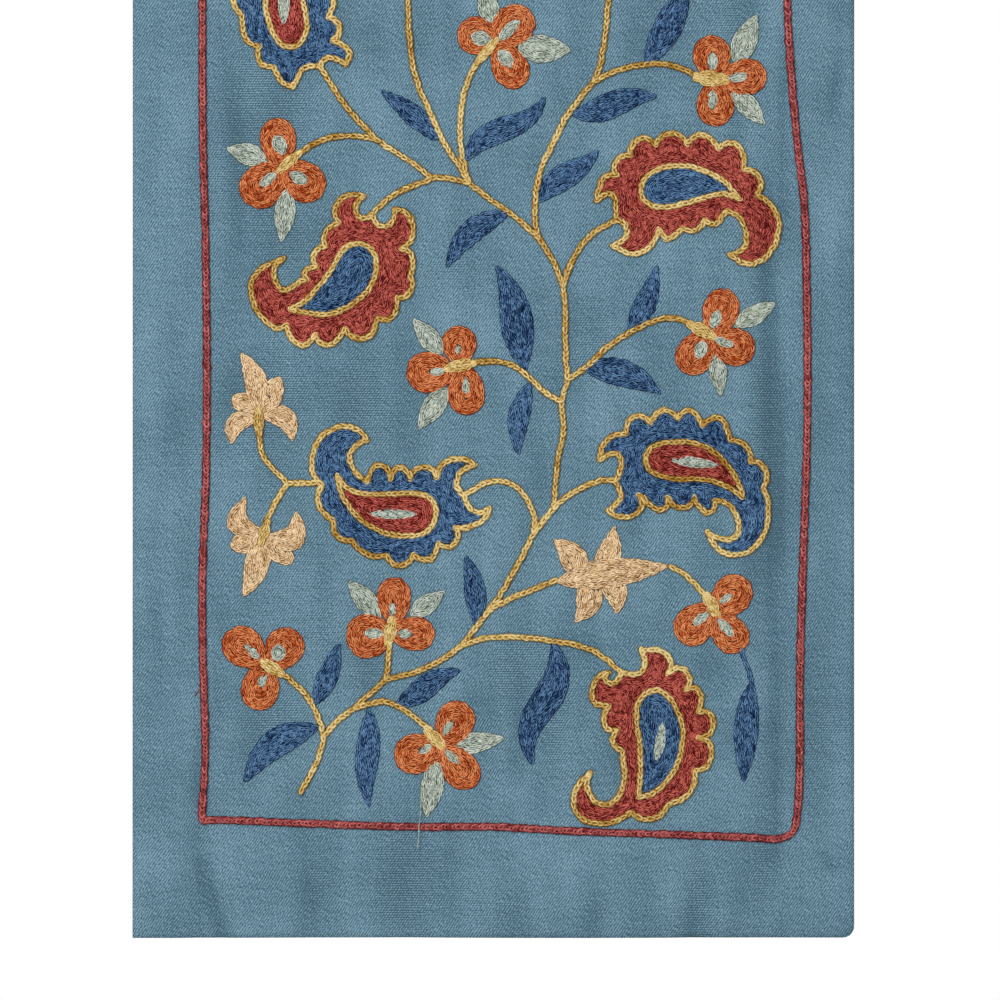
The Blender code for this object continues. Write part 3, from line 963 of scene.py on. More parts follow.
def yarn_ring(stations):
    """A ring of yarn, flat below: each vertex's angles round the ring and round the yarn, and the faces."""
    mesh = bmesh.new()
    upright = Matrix.Rotation(math.pi / 2, 4, "X") @ Matrix.Translation((1, 0, 0))
    bmesh.ops.create_circle(mesh, segments=YARN_SIDES, radius=RING_YARN, matrix=upright)
    bmesh.ops.spin(mesh, geom=mesh.verts[:] + mesh.edges[:], cent=(0, 0, 0), axis=(0, 0, 1),
                   angle=2 * math.pi, steps=stations, use_merge=True)
    bmesh.ops.remove_doubles(mesh, verts=mesh.verts, dist=MERGE_DISTANCE)
    bmesh.ops.recalc_face_normals(mesh, faces=mesh.faces)
    spots, faces = vertices_and_faces(mesh)
    ring = np.arctan2(spots[:, 1], spots[:, 0])
    yarn = np.arctan2(spots[:, 2], np.hypot(spots[:, 0], spots[:, 1]) - 1.0)
    return ring, yarn, faces


def vertices_and_faces(mesh):
    """A small shape's vertices and faces as arrays, after which it is freed."""
    mesh.verts.index_update()
    spots = np.array([vert.co for vert in mesh.verts])
    faces = [np.array([vert.index for vert in face.verts]) for face in mesh.faces]
    mesh.free()
    return spots, faces


def unrolled(angles, faces):
    """The angle at each face's corners, kept together where a face spans the turn's end."""
    corners = []
    for face in faces:
        middle = np.angle(np.exp(1j * angles[face]).sum())
        corners.append(middle + (angles[face] - middle + math.pi) % (2 * math.pi) - math.pi)
    return np.concatenate(corners)


def laid_out(share, cell):
    """The face corners' places in their part of a cell, where some faces lie over others."""
    return share % WRAP * cell["size"] + cell["corner"]


def link_form(kind):
    """A link that lies along x, in mm.

    It comes as vertices, faces, the face corners' measures along and round the yarn, their places in the
    bake map, and how near each vertex is to the yarn's crown.
    """
    ring, yarn, faces = yarn_ring(kind["stations"])
    radius = kind["yarn"] / 2
    reach = (kind["width"] - kind["yarn"]) / 2

    def middle_line(angle):
        """The yarn's middle, seen from above."""
        along = kind["overlap"] * kind["pitch"] * (1 + np.cos(angle)) / 2
        return np.stack([along, reach * np.sin(angle) * (1 + kind["neck"] * np.cos(angle))], axis=1)

    way = middle_line(ring + NUDGE) - middle_line(ring - NUDGE)
    way /= np.linalg.norm(way, axis=1, keepdims=True)
    bulge = radius * np.cos(yarn) / np.cos(yarn).max()
    outward = np.stack([way[:, 1], -way[:, 0]], axis=1) * bulge[:, None]
    lift = radius * (LINK_LIFT - LINK_STEP * np.cos(ring) + YARN_FLATTENED * np.sin(yarn))
    spots = np.column_stack([middle_line(ring) + outward, lift])
    share = np.stack([unrolled(ring, faces), unrolled(yarn, faces)], axis=1) / (2 * math.pi)
    thread = share * (LINK_ROUND * kind["pitch"], 2 * math.pi * radius)
    # The last value is painted light: it makes the top of the yarn lighter and its sides darker
    return spots, faces, thread, laid_out(share, LINK_CELL), (2 + np.sin(yarn)) / 3


def held_form(kind):
    """The straight stitch behind the cloth that holds a link, in the same terms."""
    mesh = bmesh.new()
    bmesh.ops.create_uvsphere(mesh, u_segments=HELD["segments"], v_segments=HELD["rings"], radius=0.5,
                              matrix=Matrix.Rotation(math.pi / 2, 4, "Y"))
    spots, faces = vertices_and_faces(mesh)
    turn = unrolled(np.arctan2(spots[:, 2], spots[:, 1] + TINY), faces) / (2 * math.pi)
    share = np.stack([np.concatenate([spots[face, 0] for face in faces]) + 0.5, turn], axis=1)
    behind = CLOTH_THICKNESS / MM + HELD["behind"] * kind["yarn"]
    size = (HELD["length"] * kind["pitch"], HELD["width"] * kind["width"], HELD["height"] * kind["yarn"] * 2)
    spots = spots * size + (kind["pitch"] / 2, 0.0, -behind)
    # Painted light: the side of the straight stitch away from the cloth is lighter, the side against it
    # darker
    crown = np.clip(-(spots[:, 2] + behind) / size[2] + 0.5, 0.0, 1.0)
    thread = share * (kind["pitch"], kind["yarn"] * HELD_ROUND)
    return spots, faces, thread, laid_out(share, HELD_CELL), crown


def lengthened(line, length):
    """A short straight row through the middle of a shorter one."""
    middle, way = (line[0] + line[-1]) / 2, line[-1] - line[0]
    half = way / max(np.linalg.norm(way), TINY) * length / 2
    return np.array([middle - half, middle + half])


def stitches_along(lines, kind, dice, lift, tone):
    """Where the stitches of some rows stand: place, direction, length, width, lift and tone of each."""
    made = []
    for line in lines:
        along = lengths_along(line)
        count = max(1, round(along[-1] / kind["pitch"]))
        if along[-1] < SHORTEST_STITCH * kind["pitch"]:
            line = lengthened(line, SHORTEST_STITCH * kind["pitch"])
            along = lengths_along(line)
        stops = np.linspace(0.0, along[-1], count + 1)
        stops[1:-1] += dice.normal(0.0, UNEVEN["stop"] * kind["pitch"], count - 1)
        points = read_line(line, along, stops)
        points += dice.normal(0.0, kind["sway"], points.shape)
        way = points[1:] - points[:-1]
        heading = np.arctan2(way[:, 1], way[:, 0])
        turned = heading + kind["slant"] + dice.normal(0.0, kind["turn"], count)
        to_middle = np.linalg.norm(way, axis=1) * kind["overlap"] / 2
        x = points[:-1, 0] + to_middle * (np.cos(heading) - np.cos(turned))
        h = points[:-1, 1] + to_middle * (np.sin(heading) - np.sin(turned))
        wander = sum(np.sin(across * x + up * h + start) for across, up, start in WANDER) / len(WANDER)
        made.append(np.column_stack([
            x, h, turned, np.linalg.norm(way, axis=1) / kind["pitch"],
            dice.normal(1.0, UNEVEN["width"], count),
            lift + dice.normal(0.0, UNEVEN["lift"], count),
            tone + kind["wander"] * wander + dice.normal(0.0, kind["tone"], count)]))
    return np.vstack(made)


def sew(context, name, lines, kind_name, wool, lift=0.0, tone=0.5):
    """One piece of embroidery: every stitch of its rows, as one mesh of one wool. The lift is in mm."""
    kind = KINDS[kind_name]
    dice = np.random.default_rng([context.scene.hanging_wool.seed, len(name), len(lines)])
    stitches = stitches_along(lines, kind, dice, lift, tone)
    forms = [link_form(kind)] + [held_form(kind)] * kind["held"]
    spots = np.vstack([form[0] for form in forms])
    faces, first = [], 0
    for form in forms:
        faces += [face + first for face in form[1]]
        first += len(form[0])
    corners = np.concatenate(faces)
    sizes = np.array([len(face) for face in faces])
    count, thread = len(stitches), np.vstack([form[2] for form in forms])
    cell = np.vstack([form[3] for form in forms])
    crown = np.concatenate([form[4] for form in forms])

    x, h, turned, stretch, widen, lift_each, tone = (column[:, None] for column in stitches.T)
    along, across = spots[:, 0] * stretch, spots[:, 1] * widen
    front = spots[:, 2] > 0
    place_x = (x + along * np.cos(turned) - across * np.sin(turned)) * MM
    place_z = (h + along * np.sin(turned) + across * np.cos(turned)) * MM - PANEL_LENGTH
    out = CLOTH_THICKNESS / 2 + (spots[:, 2] + lift_each * front) * MM
    place_y = cloth_depth(place_x, place_z) - out

    mesh = bpy.data.meshes.new(name)
    mesh.vertices.add(count * len(spots))
    mesh.vertices.foreach_set("co", np.stack([place_x, place_y, place_z], axis=2).ravel())
    shift = np.arange(count)[:, None]
    mesh.loops.add(count * len(corners))
    mesh.loops.foreach_set("vertex_index", (corners + shift * len(spots)).ravel())
    mesh.polygons.add(count * len(sizes))
    starts = np.concatenate([[0], np.cumsum(sizes)[:-1]])
    mesh.polygons.foreach_set("loop_start", (starts + shift * len(corners)).ravel())
    mesh.update(calc_edges=True)
    mesh.shade_smooth()

    per_side = math.ceil(math.sqrt(count))
    corner_cell = np.stack([np.arange(count) % per_side, np.arange(count) // per_side], axis=1)[:, None, :]
    baked = (corner_cell + CELL_MARGIN + (1 - 2 * CELL_MARGIN) * cell) / per_side
    start = dice.uniform(0.0, STRAND_SHIFT, (count, 1, 2))
    for layer, values in (("thread", thread + start), ("OFBake", baked)):
        mesh.uv_layers.new(name=layer).data.foreach_set("uv", values.ravel())
    # The crown attribute holds painted light for the wool: the top of the yarn lighter, its sides darker
    for layer, values in (("tone", np.repeat(tone, len(spots))), ("crown", np.tile(crown, count))):
        mesh.attributes.new(layer, "FLOAT", "POINT").data.foreach_set("value", np.clip(values, 0.0, 1.0))
    mesh.validate()

    piece = bpy.data.objects.new(name, mesh)
    context.scene.collection.objects.link(piece)
    mesh.materials.append(wool_material(context, wool))
    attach(piece, "root")
    return piece


# Finishes. Colours are as they look on a screen, from 0 to 255, or as the linear values of a shader

SPECULAR = 0.12

# The darkest and lightest strands of each wool, and its painted light: the yarn's top lighter, its sides
# darker
WOOLS = {
    "yellow": {"label": "golden yellow wool", "dark": (134, 88, 14), "light": (232, 210, 148), "crown": 1.2},
    "red": {"label": "brick red wool", "dark": (70, 4, 2), "light": (208, 106, 92), "crown": 1.5},
    "blue": {"label": "indigo wool", "dark": (0, 20, 50), "light": (102, 140, 178), "crown": 1.5},
    "orange": {"label": "orange wool", "dark": (108, 30, 0), "light": (230, 152, 98), "crown": 1.5},
    "peach": {"label": "peach wool", "dark": (132, 92, 54), "light": (246, 220, 182), "crown": 1.4},
    "pale": {"label": "pale grey wool", "dark": (90, 102, 90), "light": (208, 216, 202), "crown": 1.4},
    "border": {"label": "faded red wool", "dark": (84, 20, 24), "light": (206, 116, 112), "crown": 0.8},
}
WOOL_ROUGHNESS = 0.55
WOOL_MIDDLE = 0.55
# The average of the painted light over the seen yarn, taken off so that the wool keeps its middle colour
CROWN_MIDDLE = 0.74
STRANDS = {"contrast": 3.0, "stretch": (0.36, 1.3, 1.0), "twist": 0.25, "detail": 2.0}
WOOL_RELIEF = {"Distance": 0.0003, "Strength": 0.5}

# The twill: its ridges rise at an angle in degrees, its dashes and the weft's lines are in millimetres
TWILL = {"rise": 57.0, "dash": 3.0, "weft": 1.22}
TWILL_ROUGHNESS = 0.85
TWILL_RELIEF = {"Distance": 0.0004, "Strength": 0.5}
TWILL_DARK = 0.50
TWILL_FADED = 0.28
FADED = (0.62, 0.86, 1.0)

# The twill's soft unevenness: spots to a metre, or to a dash for DASHES, with a number for each axis where
# they are drawn out, and the detail within them
WOBBLE = {"scale": 45.0, "detail": 2.0}
DASHES = {"scale": 2.2, "detail": 1.0}
CLOUDS = {"scale": 26.0, "detail": 6.0}
LONG_CLOUDS = {"scale": (60.0, 60.0, 13.0), "detail": 4.0}
STREAKS = {"scale": (60.0, 60.0, 330.0), "detail": 2.0}
THIN_PATCHES = {"scale": 14.0, "detail": 3.0}

# How much each counts in the twill's shade, which runs from 0, dark, to 1, faded
# The creases entry is painted shade: the colour darkens along the folds and creases
SHADE = {"middle": 0.53, "clouds": 0.55, "dashes": 2.1, "ridges": 0.32, "weft": 0.38, "streaks": 0.30,
         "creases": 0.34, "worn": 0.15}

# How far the ridges wander, in pitches, how sharply thin patches end, and depths in metres of full painted
# shade
WOBBLE_SHARE = 2.08
PATCH_CONTRAST = 2.5
DEEP_FOLD = 0.0050
DEEP_CREASE = 0.0009


def add_node(tree, kind, **values):
    """A shader node with its settings and unlinked sockets filled in."""
    made = tree.nodes.new(kind)
    for name, value in values.items():
        if hasattr(made, name):
            setattr(made, name, value)
        else:
            made.inputs[name.replace("_", " ")].default_value = value
    return made


def sum_of(tree, operation, *terms, clamp=False):
    """A math node over sockets and plain numbers."""
    made = tree.nodes.new("ShaderNodeMath")
    made.operation = operation
    made.use_clamp = clamp
    for socket, term in zip(made.inputs, terms):
        if isinstance(term, (int, float)):
            socket.default_value = term
        else:
            tree.links.new(term, socket)
    return made.outputs[0]


def new_material(name, roughness):
    """A dull material, and its node tree and shader."""
    material = bpy.data.materials.new(name)
    material.use_nodes = True
    shader = material.node_tree.nodes["Principled BSDF"]
    shader.inputs["Roughness"].default_value = roughness
    shader.inputs["Specular IOR Level"].default_value = SPECULAR
    return material, material.node_tree, shader


def colour_ramp(tree, share, stops):
    """The colour at a share, between stops that each have a position and a colour."""
    ramp = tree.nodes.new("ShaderNodeValToRGB")
    while len(ramp.color_ramp.elements) < len(stops):
        ramp.color_ramp.elements.new(0.5)
    for element, (position, colour) in zip(ramp.color_ramp.elements, stops):
        element.position = position
        element.color = (*colour, 1.0)
    tree.links.new(share, ramp.inputs["Fac"])
    return ramp.outputs["Color"]


def add_relief(tree, shader, height, relief):
    """Small relief that only the light shows."""
    bump = add_node(tree, "ShaderNodeBump", **relief)
    tree.links.new(height, bump.inputs["Height"])
    tree.links.new(bump.outputs["Normal"], shader.inputs["Normal"])


def darker(colour, share):
    """A share of a linear colour."""
    return tuple(value * share for value in colour)


def faded(colour, share):
    """A linear colour with a share of the faded one in it."""
    return tuple(value + (faint - value) * share for value, faint in zip(colour, FADED))


def wool_material(context, wool):
    """The finish of one wool: strands that run along the yarn, some dark and some light, with painted light
    and shade.
    """
    look = WOOLS[wool]
    if look["label"] in bpy.data.materials:
        return bpy.data.materials[look["label"]]
    colour = tuple(getattr(context.scene.hanging_wool, wool))
    material, tree, shader = new_material(look["label"], WOOL_ROUGHNESS)
    thread = add_node(tree, "ShaderNodeUVMap", uv_map="thread")
    stretched = add_node(tree, "ShaderNodeMapping", Scale=STRANDS["stretch"],
                         Rotation=(0.0, 0.0, STRANDS["twist"]))
    tree.links.new(thread.outputs["UV"], stretched.inputs["Vector"])
    strands = add_node(tree, "ShaderNodeTexNoise", noise_dimensions="2D", Scale=1.0,
                       Detail=STRANDS["detail"])
    tree.links.new(stretched.outputs["Vector"], strands.inputs["Vector"])
    strand = strands.outputs["Fac"]
    tone = add_node(tree, "ShaderNodeAttribute", attribute_name="tone").outputs["Fac"]
    crown = add_node(tree, "ShaderNodeAttribute", attribute_name="crown").outputs["Fac"]
    varied = sum_of(tree, "MULTIPLY_ADD", strand, STRANDS["contrast"], tone)
    # Painted light: the top of the yarn lighter, its sides darker
    share_with_painted_light = sum_of(tree, "ADD", varied, sum_of(tree, "MULTIPLY", crown, look["crown"]))
    middle = STRANDS["contrast"] / 2 + look["crown"] * CROWN_MIDDLE
    share = sum_of(tree, "SUBTRACT", share_with_painted_light, middle)
    dark, light = from_screen(*look["dark"]), from_screen(*look["light"])
    tree.links.new(colour_ramp(tree, share, ((0.0, dark), (WOOL_MIDDLE, colour), (1.0, light))),
                   shader.inputs["Base Color"])
    add_relief(tree, shader, strand, WOOL_RELIEF)
    return material


def crease_shade_to_paint(x, z):
    """How much shade is painted into the cloth's colour along its folds and creases, from 0 to about 1."""
    folded = sum(np.abs(fold_depth(fold, x, z)) for fold in FOLDS) / DEEP_FOLD
    creased = sum(np.abs(fold_depth(crease, x, z)) for crease in CREASES) / DEEP_CREASE
    return folded + creased


def wear(x, z):
    """How much the weft shows, from 0 to 1."""
    return sum(np.exp(-((x - patch["x"]) / patch["half_width"]) ** 2
                      - ((z - patch["z"]) / patch["half_height"]) ** 2) for patch in WORN_PATCHES)


def twill_material(context):
    """Faded blue twill: slanting ridges broken into dashes, and patches where the weft shows through."""
    panel = context.scene.hanging_panel
    colour = tuple(panel.colour)
    material, tree, shader = new_material("faded blue twill", TWILL_ROUGHNESS)
    spot = tree.nodes.new("ShaderNodeTexCoord").outputs["Object"]
    rise = math.radians(TWILL["rise"])
    pitch = panel.twill_pitch * math.sin(rise)

    def measured(direction, length):
        """The distance of a point along a direction, in lengths."""
        product = add_node(tree, "ShaderNodeVectorMath", operation="DOT_PRODUCT")
        tree.links.new(spot, product.inputs[0])
        product.inputs[1].default_value = Vector(direction) / length
        return product.outputs["Value"]

    def unevenness(look, vector=spot):
        """Soft spots, of about 0.5 on the average, which are drawn out where their scale has three axes."""
        scale = look["scale"]
        if isinstance(scale, tuple):
            drawn_out = add_node(tree, "ShaderNodeMapping", Scale=scale)
            tree.links.new(vector, drawn_out.inputs["Vector"])
            vector, scale = drawn_out.outputs["Vector"], 1.0
        made = add_node(tree, "ShaderNodeTexNoise", Scale=scale, Detail=look["detail"])
        tree.links.new(vector, made.inputs["Vector"])
        return made.outputs["Fac"]

    def about_zero(share):
        """The same unevenness with 0 on the average."""
        return sum_of(tree, "SUBTRACT", share, 0.5)

    wobble = sum_of(tree, "MULTIPLY", about_zero(unevenness(WOBBLE)), WOBBLE_SHARE)
    across = sum_of(tree, "ADD", measured((math.sin(rise), 0, -math.cos(rise)), pitch), wobble)
    along = measured((math.cos(rise), 0, math.sin(rise)), TWILL["dash"] * MM)
    grid = tree.nodes.new("ShaderNodeCombineXYZ")
    tree.links.new(across, grid.inputs["X"])
    tree.links.new(along, grid.inputs["Y"])
    ridge = sum_of(tree, "SINE", sum_of(tree, "MULTIPLY", across, 2 * math.pi))
    dash = unevenness(DASHES, grid.outputs["Vector"])
    weft = sum_of(tree, "SINE", measured((0, 0, 2 * math.pi), TWILL["weft"] * MM))

    # Painted shade: the cloth's attribute says how much its folds and creases darken its colour
    creased = add_node(tree, "ShaderNodeAttribute", attribute_name="creased").outputs["Fac"]
    worn = add_node(tree, "ShaderNodeAttribute", attribute_name="worn").outputs["Fac"]
    thin = sum_of(tree, "MULTIPLY", about_zero(unevenness(THIN_PATCHES)), PATCH_CONTRAST)
    shown = sum_of(tree, "ADD", worn, thin, clamp=True)

    dashes = sum_of(tree, "MULTIPLY", about_zero(dash), SHADE["dashes"])
    woven = sum_of(tree, "MULTIPLY_ADD", ridge, SHADE["ridges"], dashes)
    lined = sum_of(tree, "MULTIPLY", sum_of(tree, "MULTIPLY", weft, shown), SHADE["weft"])
    height = sum_of(tree, "ADD", woven, lined)
    clouds = sum_of(tree, "ADD", unevenness(LONG_CLOUDS), unevenness(CLOUDS))
    clouded = sum_of(tree, "MULTIPLY_ADD", sum_of(tree, "SUBTRACT", clouds, 1.0), SHADE["clouds"],
                     SHADE["middle"])
    # Painted shade along the folds and creases darkens the colour here
    shaded = sum_of(tree, "MULTIPLY_ADD", creased, -SHADE["creases"], clouded)
    streaked = sum_of(tree, "MULTIPLY_ADD", about_zero(unevenness(STREAKS)), SHADE["streaks"], shaded)
    faint = sum_of(tree, "MULTIPLY_ADD", shown, -SHADE["worn"], streaked)
    share = sum_of(tree, "ADD", faint, height)
    stops = ((0.0, darker(colour, TWILL_DARK)), (0.5, colour), (1.0, faded(colour, TWILL_FADED)))
    tree.links.new(colour_ramp(tree, share, stops), shader.inputs["Base Color"])
    add_relief(tree, shader, height, TWILL_RELIEF)
    return material


# What a user may change

WOOL_NOTE = "Colour of this wool in daylight"


def colour_property(name, screen, note):
    """A colour that a user may change, given as it looks on a screen."""
    return bpy.props.FloatVectorProperty(
        name=name, description=note, subtype="COLOR", size=3, min=0.0, max=1.0, default=from_screen(*screen))


class PanelSettings(bpy.types.PropertyGroup):
    """The cloth's colour and weave"""
    colour: colour_property("Cloth", (89, 124, 142), "Colour of the twill in daylight")
    twill_pitch: bpy.props.FloatProperty(
        name="Twill pitch", description="Distance from one slanting ridge to the next, level across",
        default=1.4 * MM, min=0.4 * MM, max=5 * MM, precision=5, unit="LENGTH")


class WoolSettings(bpy.types.PropertyGroup):
    """The wools and how they are worked"""
    yellow: colour_property("Outlines", (191, 150, 67), WOOL_NOTE)
    red: colour_property("Red fill", (118, 23, 18), WOOL_NOTE)
    blue: colour_property("Blue fill", (18, 55, 97), WOOL_NOTE)
    orange: colour_property("Petals", (177, 70, 18), WOOL_NOTE)
    peach: colour_property("Lilies", (214, 176, 126), WOOL_NOTE)
    pale: colour_property("Pale leaves", (158, 168, 154), WOOL_NOTE)
    border: colour_property("Border", (134, 50, 50), WOOL_NOTE)
    row_pitch: bpy.props.FloatProperty(
        name="Row pitch", description="Distance between the rows that fill a motif",
        default=1.85 * MM, min=1.0 * MM, max=5 * MM, precision=5, unit="LENGTH")
    seed: bpy.props.IntProperty(
        name="Seed", description="Changes how the stitches vary by hand", default=7, min=0)


class StageSettings(bpy.types.PropertyGroup):
    """The studio round the hanging"""
    light: bpy.props.FloatProperty(
        name="Light", description="Power of the main studio light", default=42.0, min=0.0, unit="POWER")
    distance: bpy.props.FloatProperty(
        name="Camera distance", description="How far the camera stands in front of the cloth",
        default=2.78, min=0.5, max=20.0, unit="LENGTH")
    floor_radius: bpy.props.FloatProperty(
        name="Floor radius", description="Radius of the round floor below the hanging",
        default=1.1, min=0.3, max=5.0, unit="LENGTH")


# Pieces

def row_pitch(context):
    """The distance between the rows that fill a motif, in mm."""
    return context.scene.hanging_wool.row_pitch / MM


def filled(context, outlines, first=FIRST_ROW, covers=(), beside=()):
    """Rows that fill the space inside the first outline and outside the others.

    They leave out what later shapes cover, and keep beside the rows that are worked already.
    """
    edges = [inward_edge(outline, outwards=number > 0) for number, outline in enumerate(outlines)]
    rows = inset_rows(edges, first, row_pitch(context))
    rows = clear_all(rows, covers)
    for row in beside:
        rows = kept_parts(rows, lambda line: nearest(line, row) > BESIDE_SHARE * ROWS_APART)
    return rows + patches(outlines[0], outlines[1:], covers, [*rows, *beside], first - PATCH_INSET)


class HANGING_OT_cloth(bpy.types.Operator):
    """Weave the blue panel with its hung folds"""
    bl_idname = "hanging.cloth"
    bl_label = "Woven panel"

    def execute(self, context):
        mesh = bmesh.new()
        columns, rows = round(PANEL_WIDTH / CLOTH_CELL / 2), round(PANEL_LENGTH / CLOTH_CELL / 2)
        flat = Matrix.Translation((0.0, 0.0, -PANEL_LENGTH / 2)) @ Matrix.Rotation(math.pi / 2, 4, "X")
        sized = flat @ Matrix.Diagonal((PANEL_WIDTH / 2, PANEL_LENGTH / 2, 1.0, 1.0))
        bmesh.ops.create_grid(mesh, x_segments=columns, y_segments=rows, size=1.0, matrix=sized)
        corner = max(mesh.verts, key=lambda vert: vert.co.x - vert.co.z)
        bmesh.ops.bevel(mesh, geom=[corner], offset=CORNER_RADIUS, segments=CORNER_STEPS,
                        affect="VERTICES", profile=0.5, material=-1)
        long_edges = [edge for edge in mesh.edges if edge.calc_length() > CLOTH_CELL]
        bmesh.ops.subdivide_edges(mesh, edges=long_edges, cuts=1, use_grid_fill=True)
        for vert in mesh.verts:
            vert.co.y = float(cloth_depth(vert.co.x, vert.co.z))
        bmesh.ops.recalc_face_normals(mesh, faces=mesh.faces)
        woven = bpy.data.meshes.new("woven_panel")
        mesh.to_mesh(woven)
        mesh.free()
        woven.shade_smooth()
        spots = np.array([vert.co for vert in woven.vertices])
        # The first attribute is painted shade along the folds and creases; the second marks where the weft
        # shows
        for name, measure in (("creased", crease_shade_to_paint), ("worn", wear)):
            values = np.clip(measure(spots[:, 0], spots[:, 2]), 0.0, 1.0)
            woven.attributes.new(name, "FLOAT", "POINT").data.foreach_set("value", values)
        cloth = bpy.data.objects.new("woven_panel", woven)
        context.scene.collection.objects.link(cloth)
        thicken = cloth.modifiers.new("Thickness", "SOLIDIFY")
        thicken.thickness = CLOTH_THICKNESS
        thicken.offset = 0.0
        woven.materials.append(twill_material(context))
        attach(cloth, "root")
        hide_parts("cloth_panel")
        return {"FINISHED"}


class HANGING_OT_vine(bpy.types.Operator):
    """Chain-stitch the stems of the vine"""
    bl_idname = "hanging.vine"
    bl_label = "Vine stems"

    def execute(self, context):
        stems = [one_row(stem["from"], *stem["by"], stem["to"]) for stem in STEMS]
        sew(context, "vine_stems", stems, "outline", "yellow", lift=0.1)
        return {"FINISHED"}


class HANGING_OT_paisleys(bpy.types.Operator):
    """Outline and fill the paisleys"""
    bl_idname = "hanging.paisleys"
    bl_label = "Paisleys"

    def execute(self, context):
        outlines, rows, cores = [], {"red": [], "blue": []}, []
        for paisley in PAISLEYS:
            strokes, drop = edge_strokes(paisley), drop_outline(paisley)
            outline = np.vstack([stroke[:-1] for stroke in strokes])
            outlines += [*strokes, closed_row(drop)]
            rows[paisley["ring"]] += filled(context, (outline, drop), BESIDE_OUTLINE)
            core = [leaf_outline(paisley["core"])] if paisley["core"] else []
            rows[paisley["drop_wool"]] += filled(context, (drop,), BESIDE_OUTLINE, covers=core)
            if core:
                cores += filled(context, core)
        sew(context, "paisley_outlines", outlines, "outline", "yellow", lift=0.2)
        sew(context, "paisley_red_rows", rows["red"], "fill", "red")
        sew(context, "paisley_blue_rows", rows["blue"], "fill", "blue")
        sew(context, "paisley_cores", cores, "fill", "pale")
        return {"FINISHED"}


class HANGING_OT_flowers(bpy.types.Operator):
    """Fill the three-petal flowers, their bulbs and their pale leaves"""
    bl_idname = "hanging.flowers"
    bl_label = "Flowers"

    def execute(self, context):
        petals, cores, bulbs, leaves = [], [], [], []
        for flower in FLOWERS:
            bulb = leaf_outline({**flower["bulb"], "blunt": ROUND_END})
            bulbs += rows_of_bulb(flower["bulb"])
            cores_within = [leaf_outline({**petal["core"], "blunt": ROUND_END})
                            for petal in flower["petals"]]
            middle = []
            for core in cores_within:
                middle += filled(context, (core,), covers=(bulb,))
            shapes = [petal_outline(petal) for petal in flower["petals"]]
            for number, shape in enumerate(shapes):
                covers = (*shapes[number + 1:], *cores_within, bulb)
                petals += filled(context, (shape,), covers=covers, beside=middle)
            for leaf in flower["leaves"]:
                leaves += filled(context, (leaf_outline(leaf, LEAF_REACH),), covers=shapes)
            cores += middle
        sew(context, "flower_petals", petals, "fill", "orange", lift=0.1)
        sew(context, "flower_cores", cores, "fill", "pale", lift=0.1)
        sew(context, "flower_bulbs", bulbs, "fill", "yellow", lift=0.3, tone=0.68)
        sew(context, "flower_leaves", leaves, "fill", "pale")
        return {"FINISHED"}


class HANGING_OT_leaves(bpy.types.Operator):
    """Fill the blue leaves"""
    bl_idname = "hanging.leaves"
    bl_label = "Blue leaves"

    def execute(self, context):
        lines = [one_row(*LEAF_STALK)]
        for leaf in BLUE_LEAVES:
            lines += filled(context, (leaf_outline(leaf, LEAF_REACH),))
        sew(context, "blue_leaves", lines, "fill", "blue")
        return {"FINISHED"}


class HANGING_OT_lilies(bpy.types.Operator):
    """Fill the lilies petal by petal, each over the ones before"""
    bl_idname = "hanging.lilies"
    bl_label = "Lilies"

    def execute(self, context):
        petals, columns = [], []
        for lily in LILIES:
            shapes = [leaf_outline(petal) for petal in lily["petals"]]
            for number, shape in enumerate(shapes):
                petals += filled(context, (shape,), covers=shapes[number + 1:])
            if lily["column"]:
                columns += rows_of_bulb(lily["column"])
        sew(context, "lily_petals", petals, "fill", "peach")
        sew(context, "lily_columns", columns, "fill", "yellow", lift=0.7)
        return {"FINISHED"}


class HANGING_OT_border(bpy.types.Operator):
    """Work the red line that frames the pattern"""
    bl_idname = "hanging.border"
    bl_label = "Red border"

    def execute(self, context):
        sew(context, "red_border", [one_row(*line) for line in FRAME_LINES], "frame", "border")
        return {"FINISHED"}


class HANGING_OT_loose_ends(bpy.types.Operator):
    """Leave a loose pale thread and a small red knot"""
    bl_idname = "hanging.loose_ends"
    bl_label = "Loose ends"

    def execute(self, context):
        sew(context, "loose_pale_thread", [one_row(*LOOSE_THREAD)], "loose", "pale", lift=1.9)
        sew(context, "small_red_knot", [one_row(*RED_KNOT)], "loose", "red", lift=0.2)
        return {"FINISHED"}


# The studio, in metres. The photograph's middle is where the camera looks
PHOTO_MIDDLE = (0.00325, 0.0, -0.411)
LENS = 200.0
SENSOR_WIDTH = 36.0
FLOOR_SIDES = 96
FLOOR_DROP = 0.15
FLOOR_ROUGHNESS = 0.9
FLOOR_COLOUR = (0.82, 0.82, 0.80, 1.0)
LIGHTS = (
    {"name": "key light", "spot": (-1.3, -2.0, 0.7), "size": 1.1, "share": 1.0},
    {"name": "fill light", "spot": (1.5, -2.2, -0.3), "size": 1.6, "share": 0.35},
)
SEEN_WORLD = {"Color": (1.0, 1.0, 1.0, 1.0), "Strength": 1.0}
CAST_WORLD = {"Color": (0.97, 0.98, 1.0, 1.0), "Strength": 0.42}


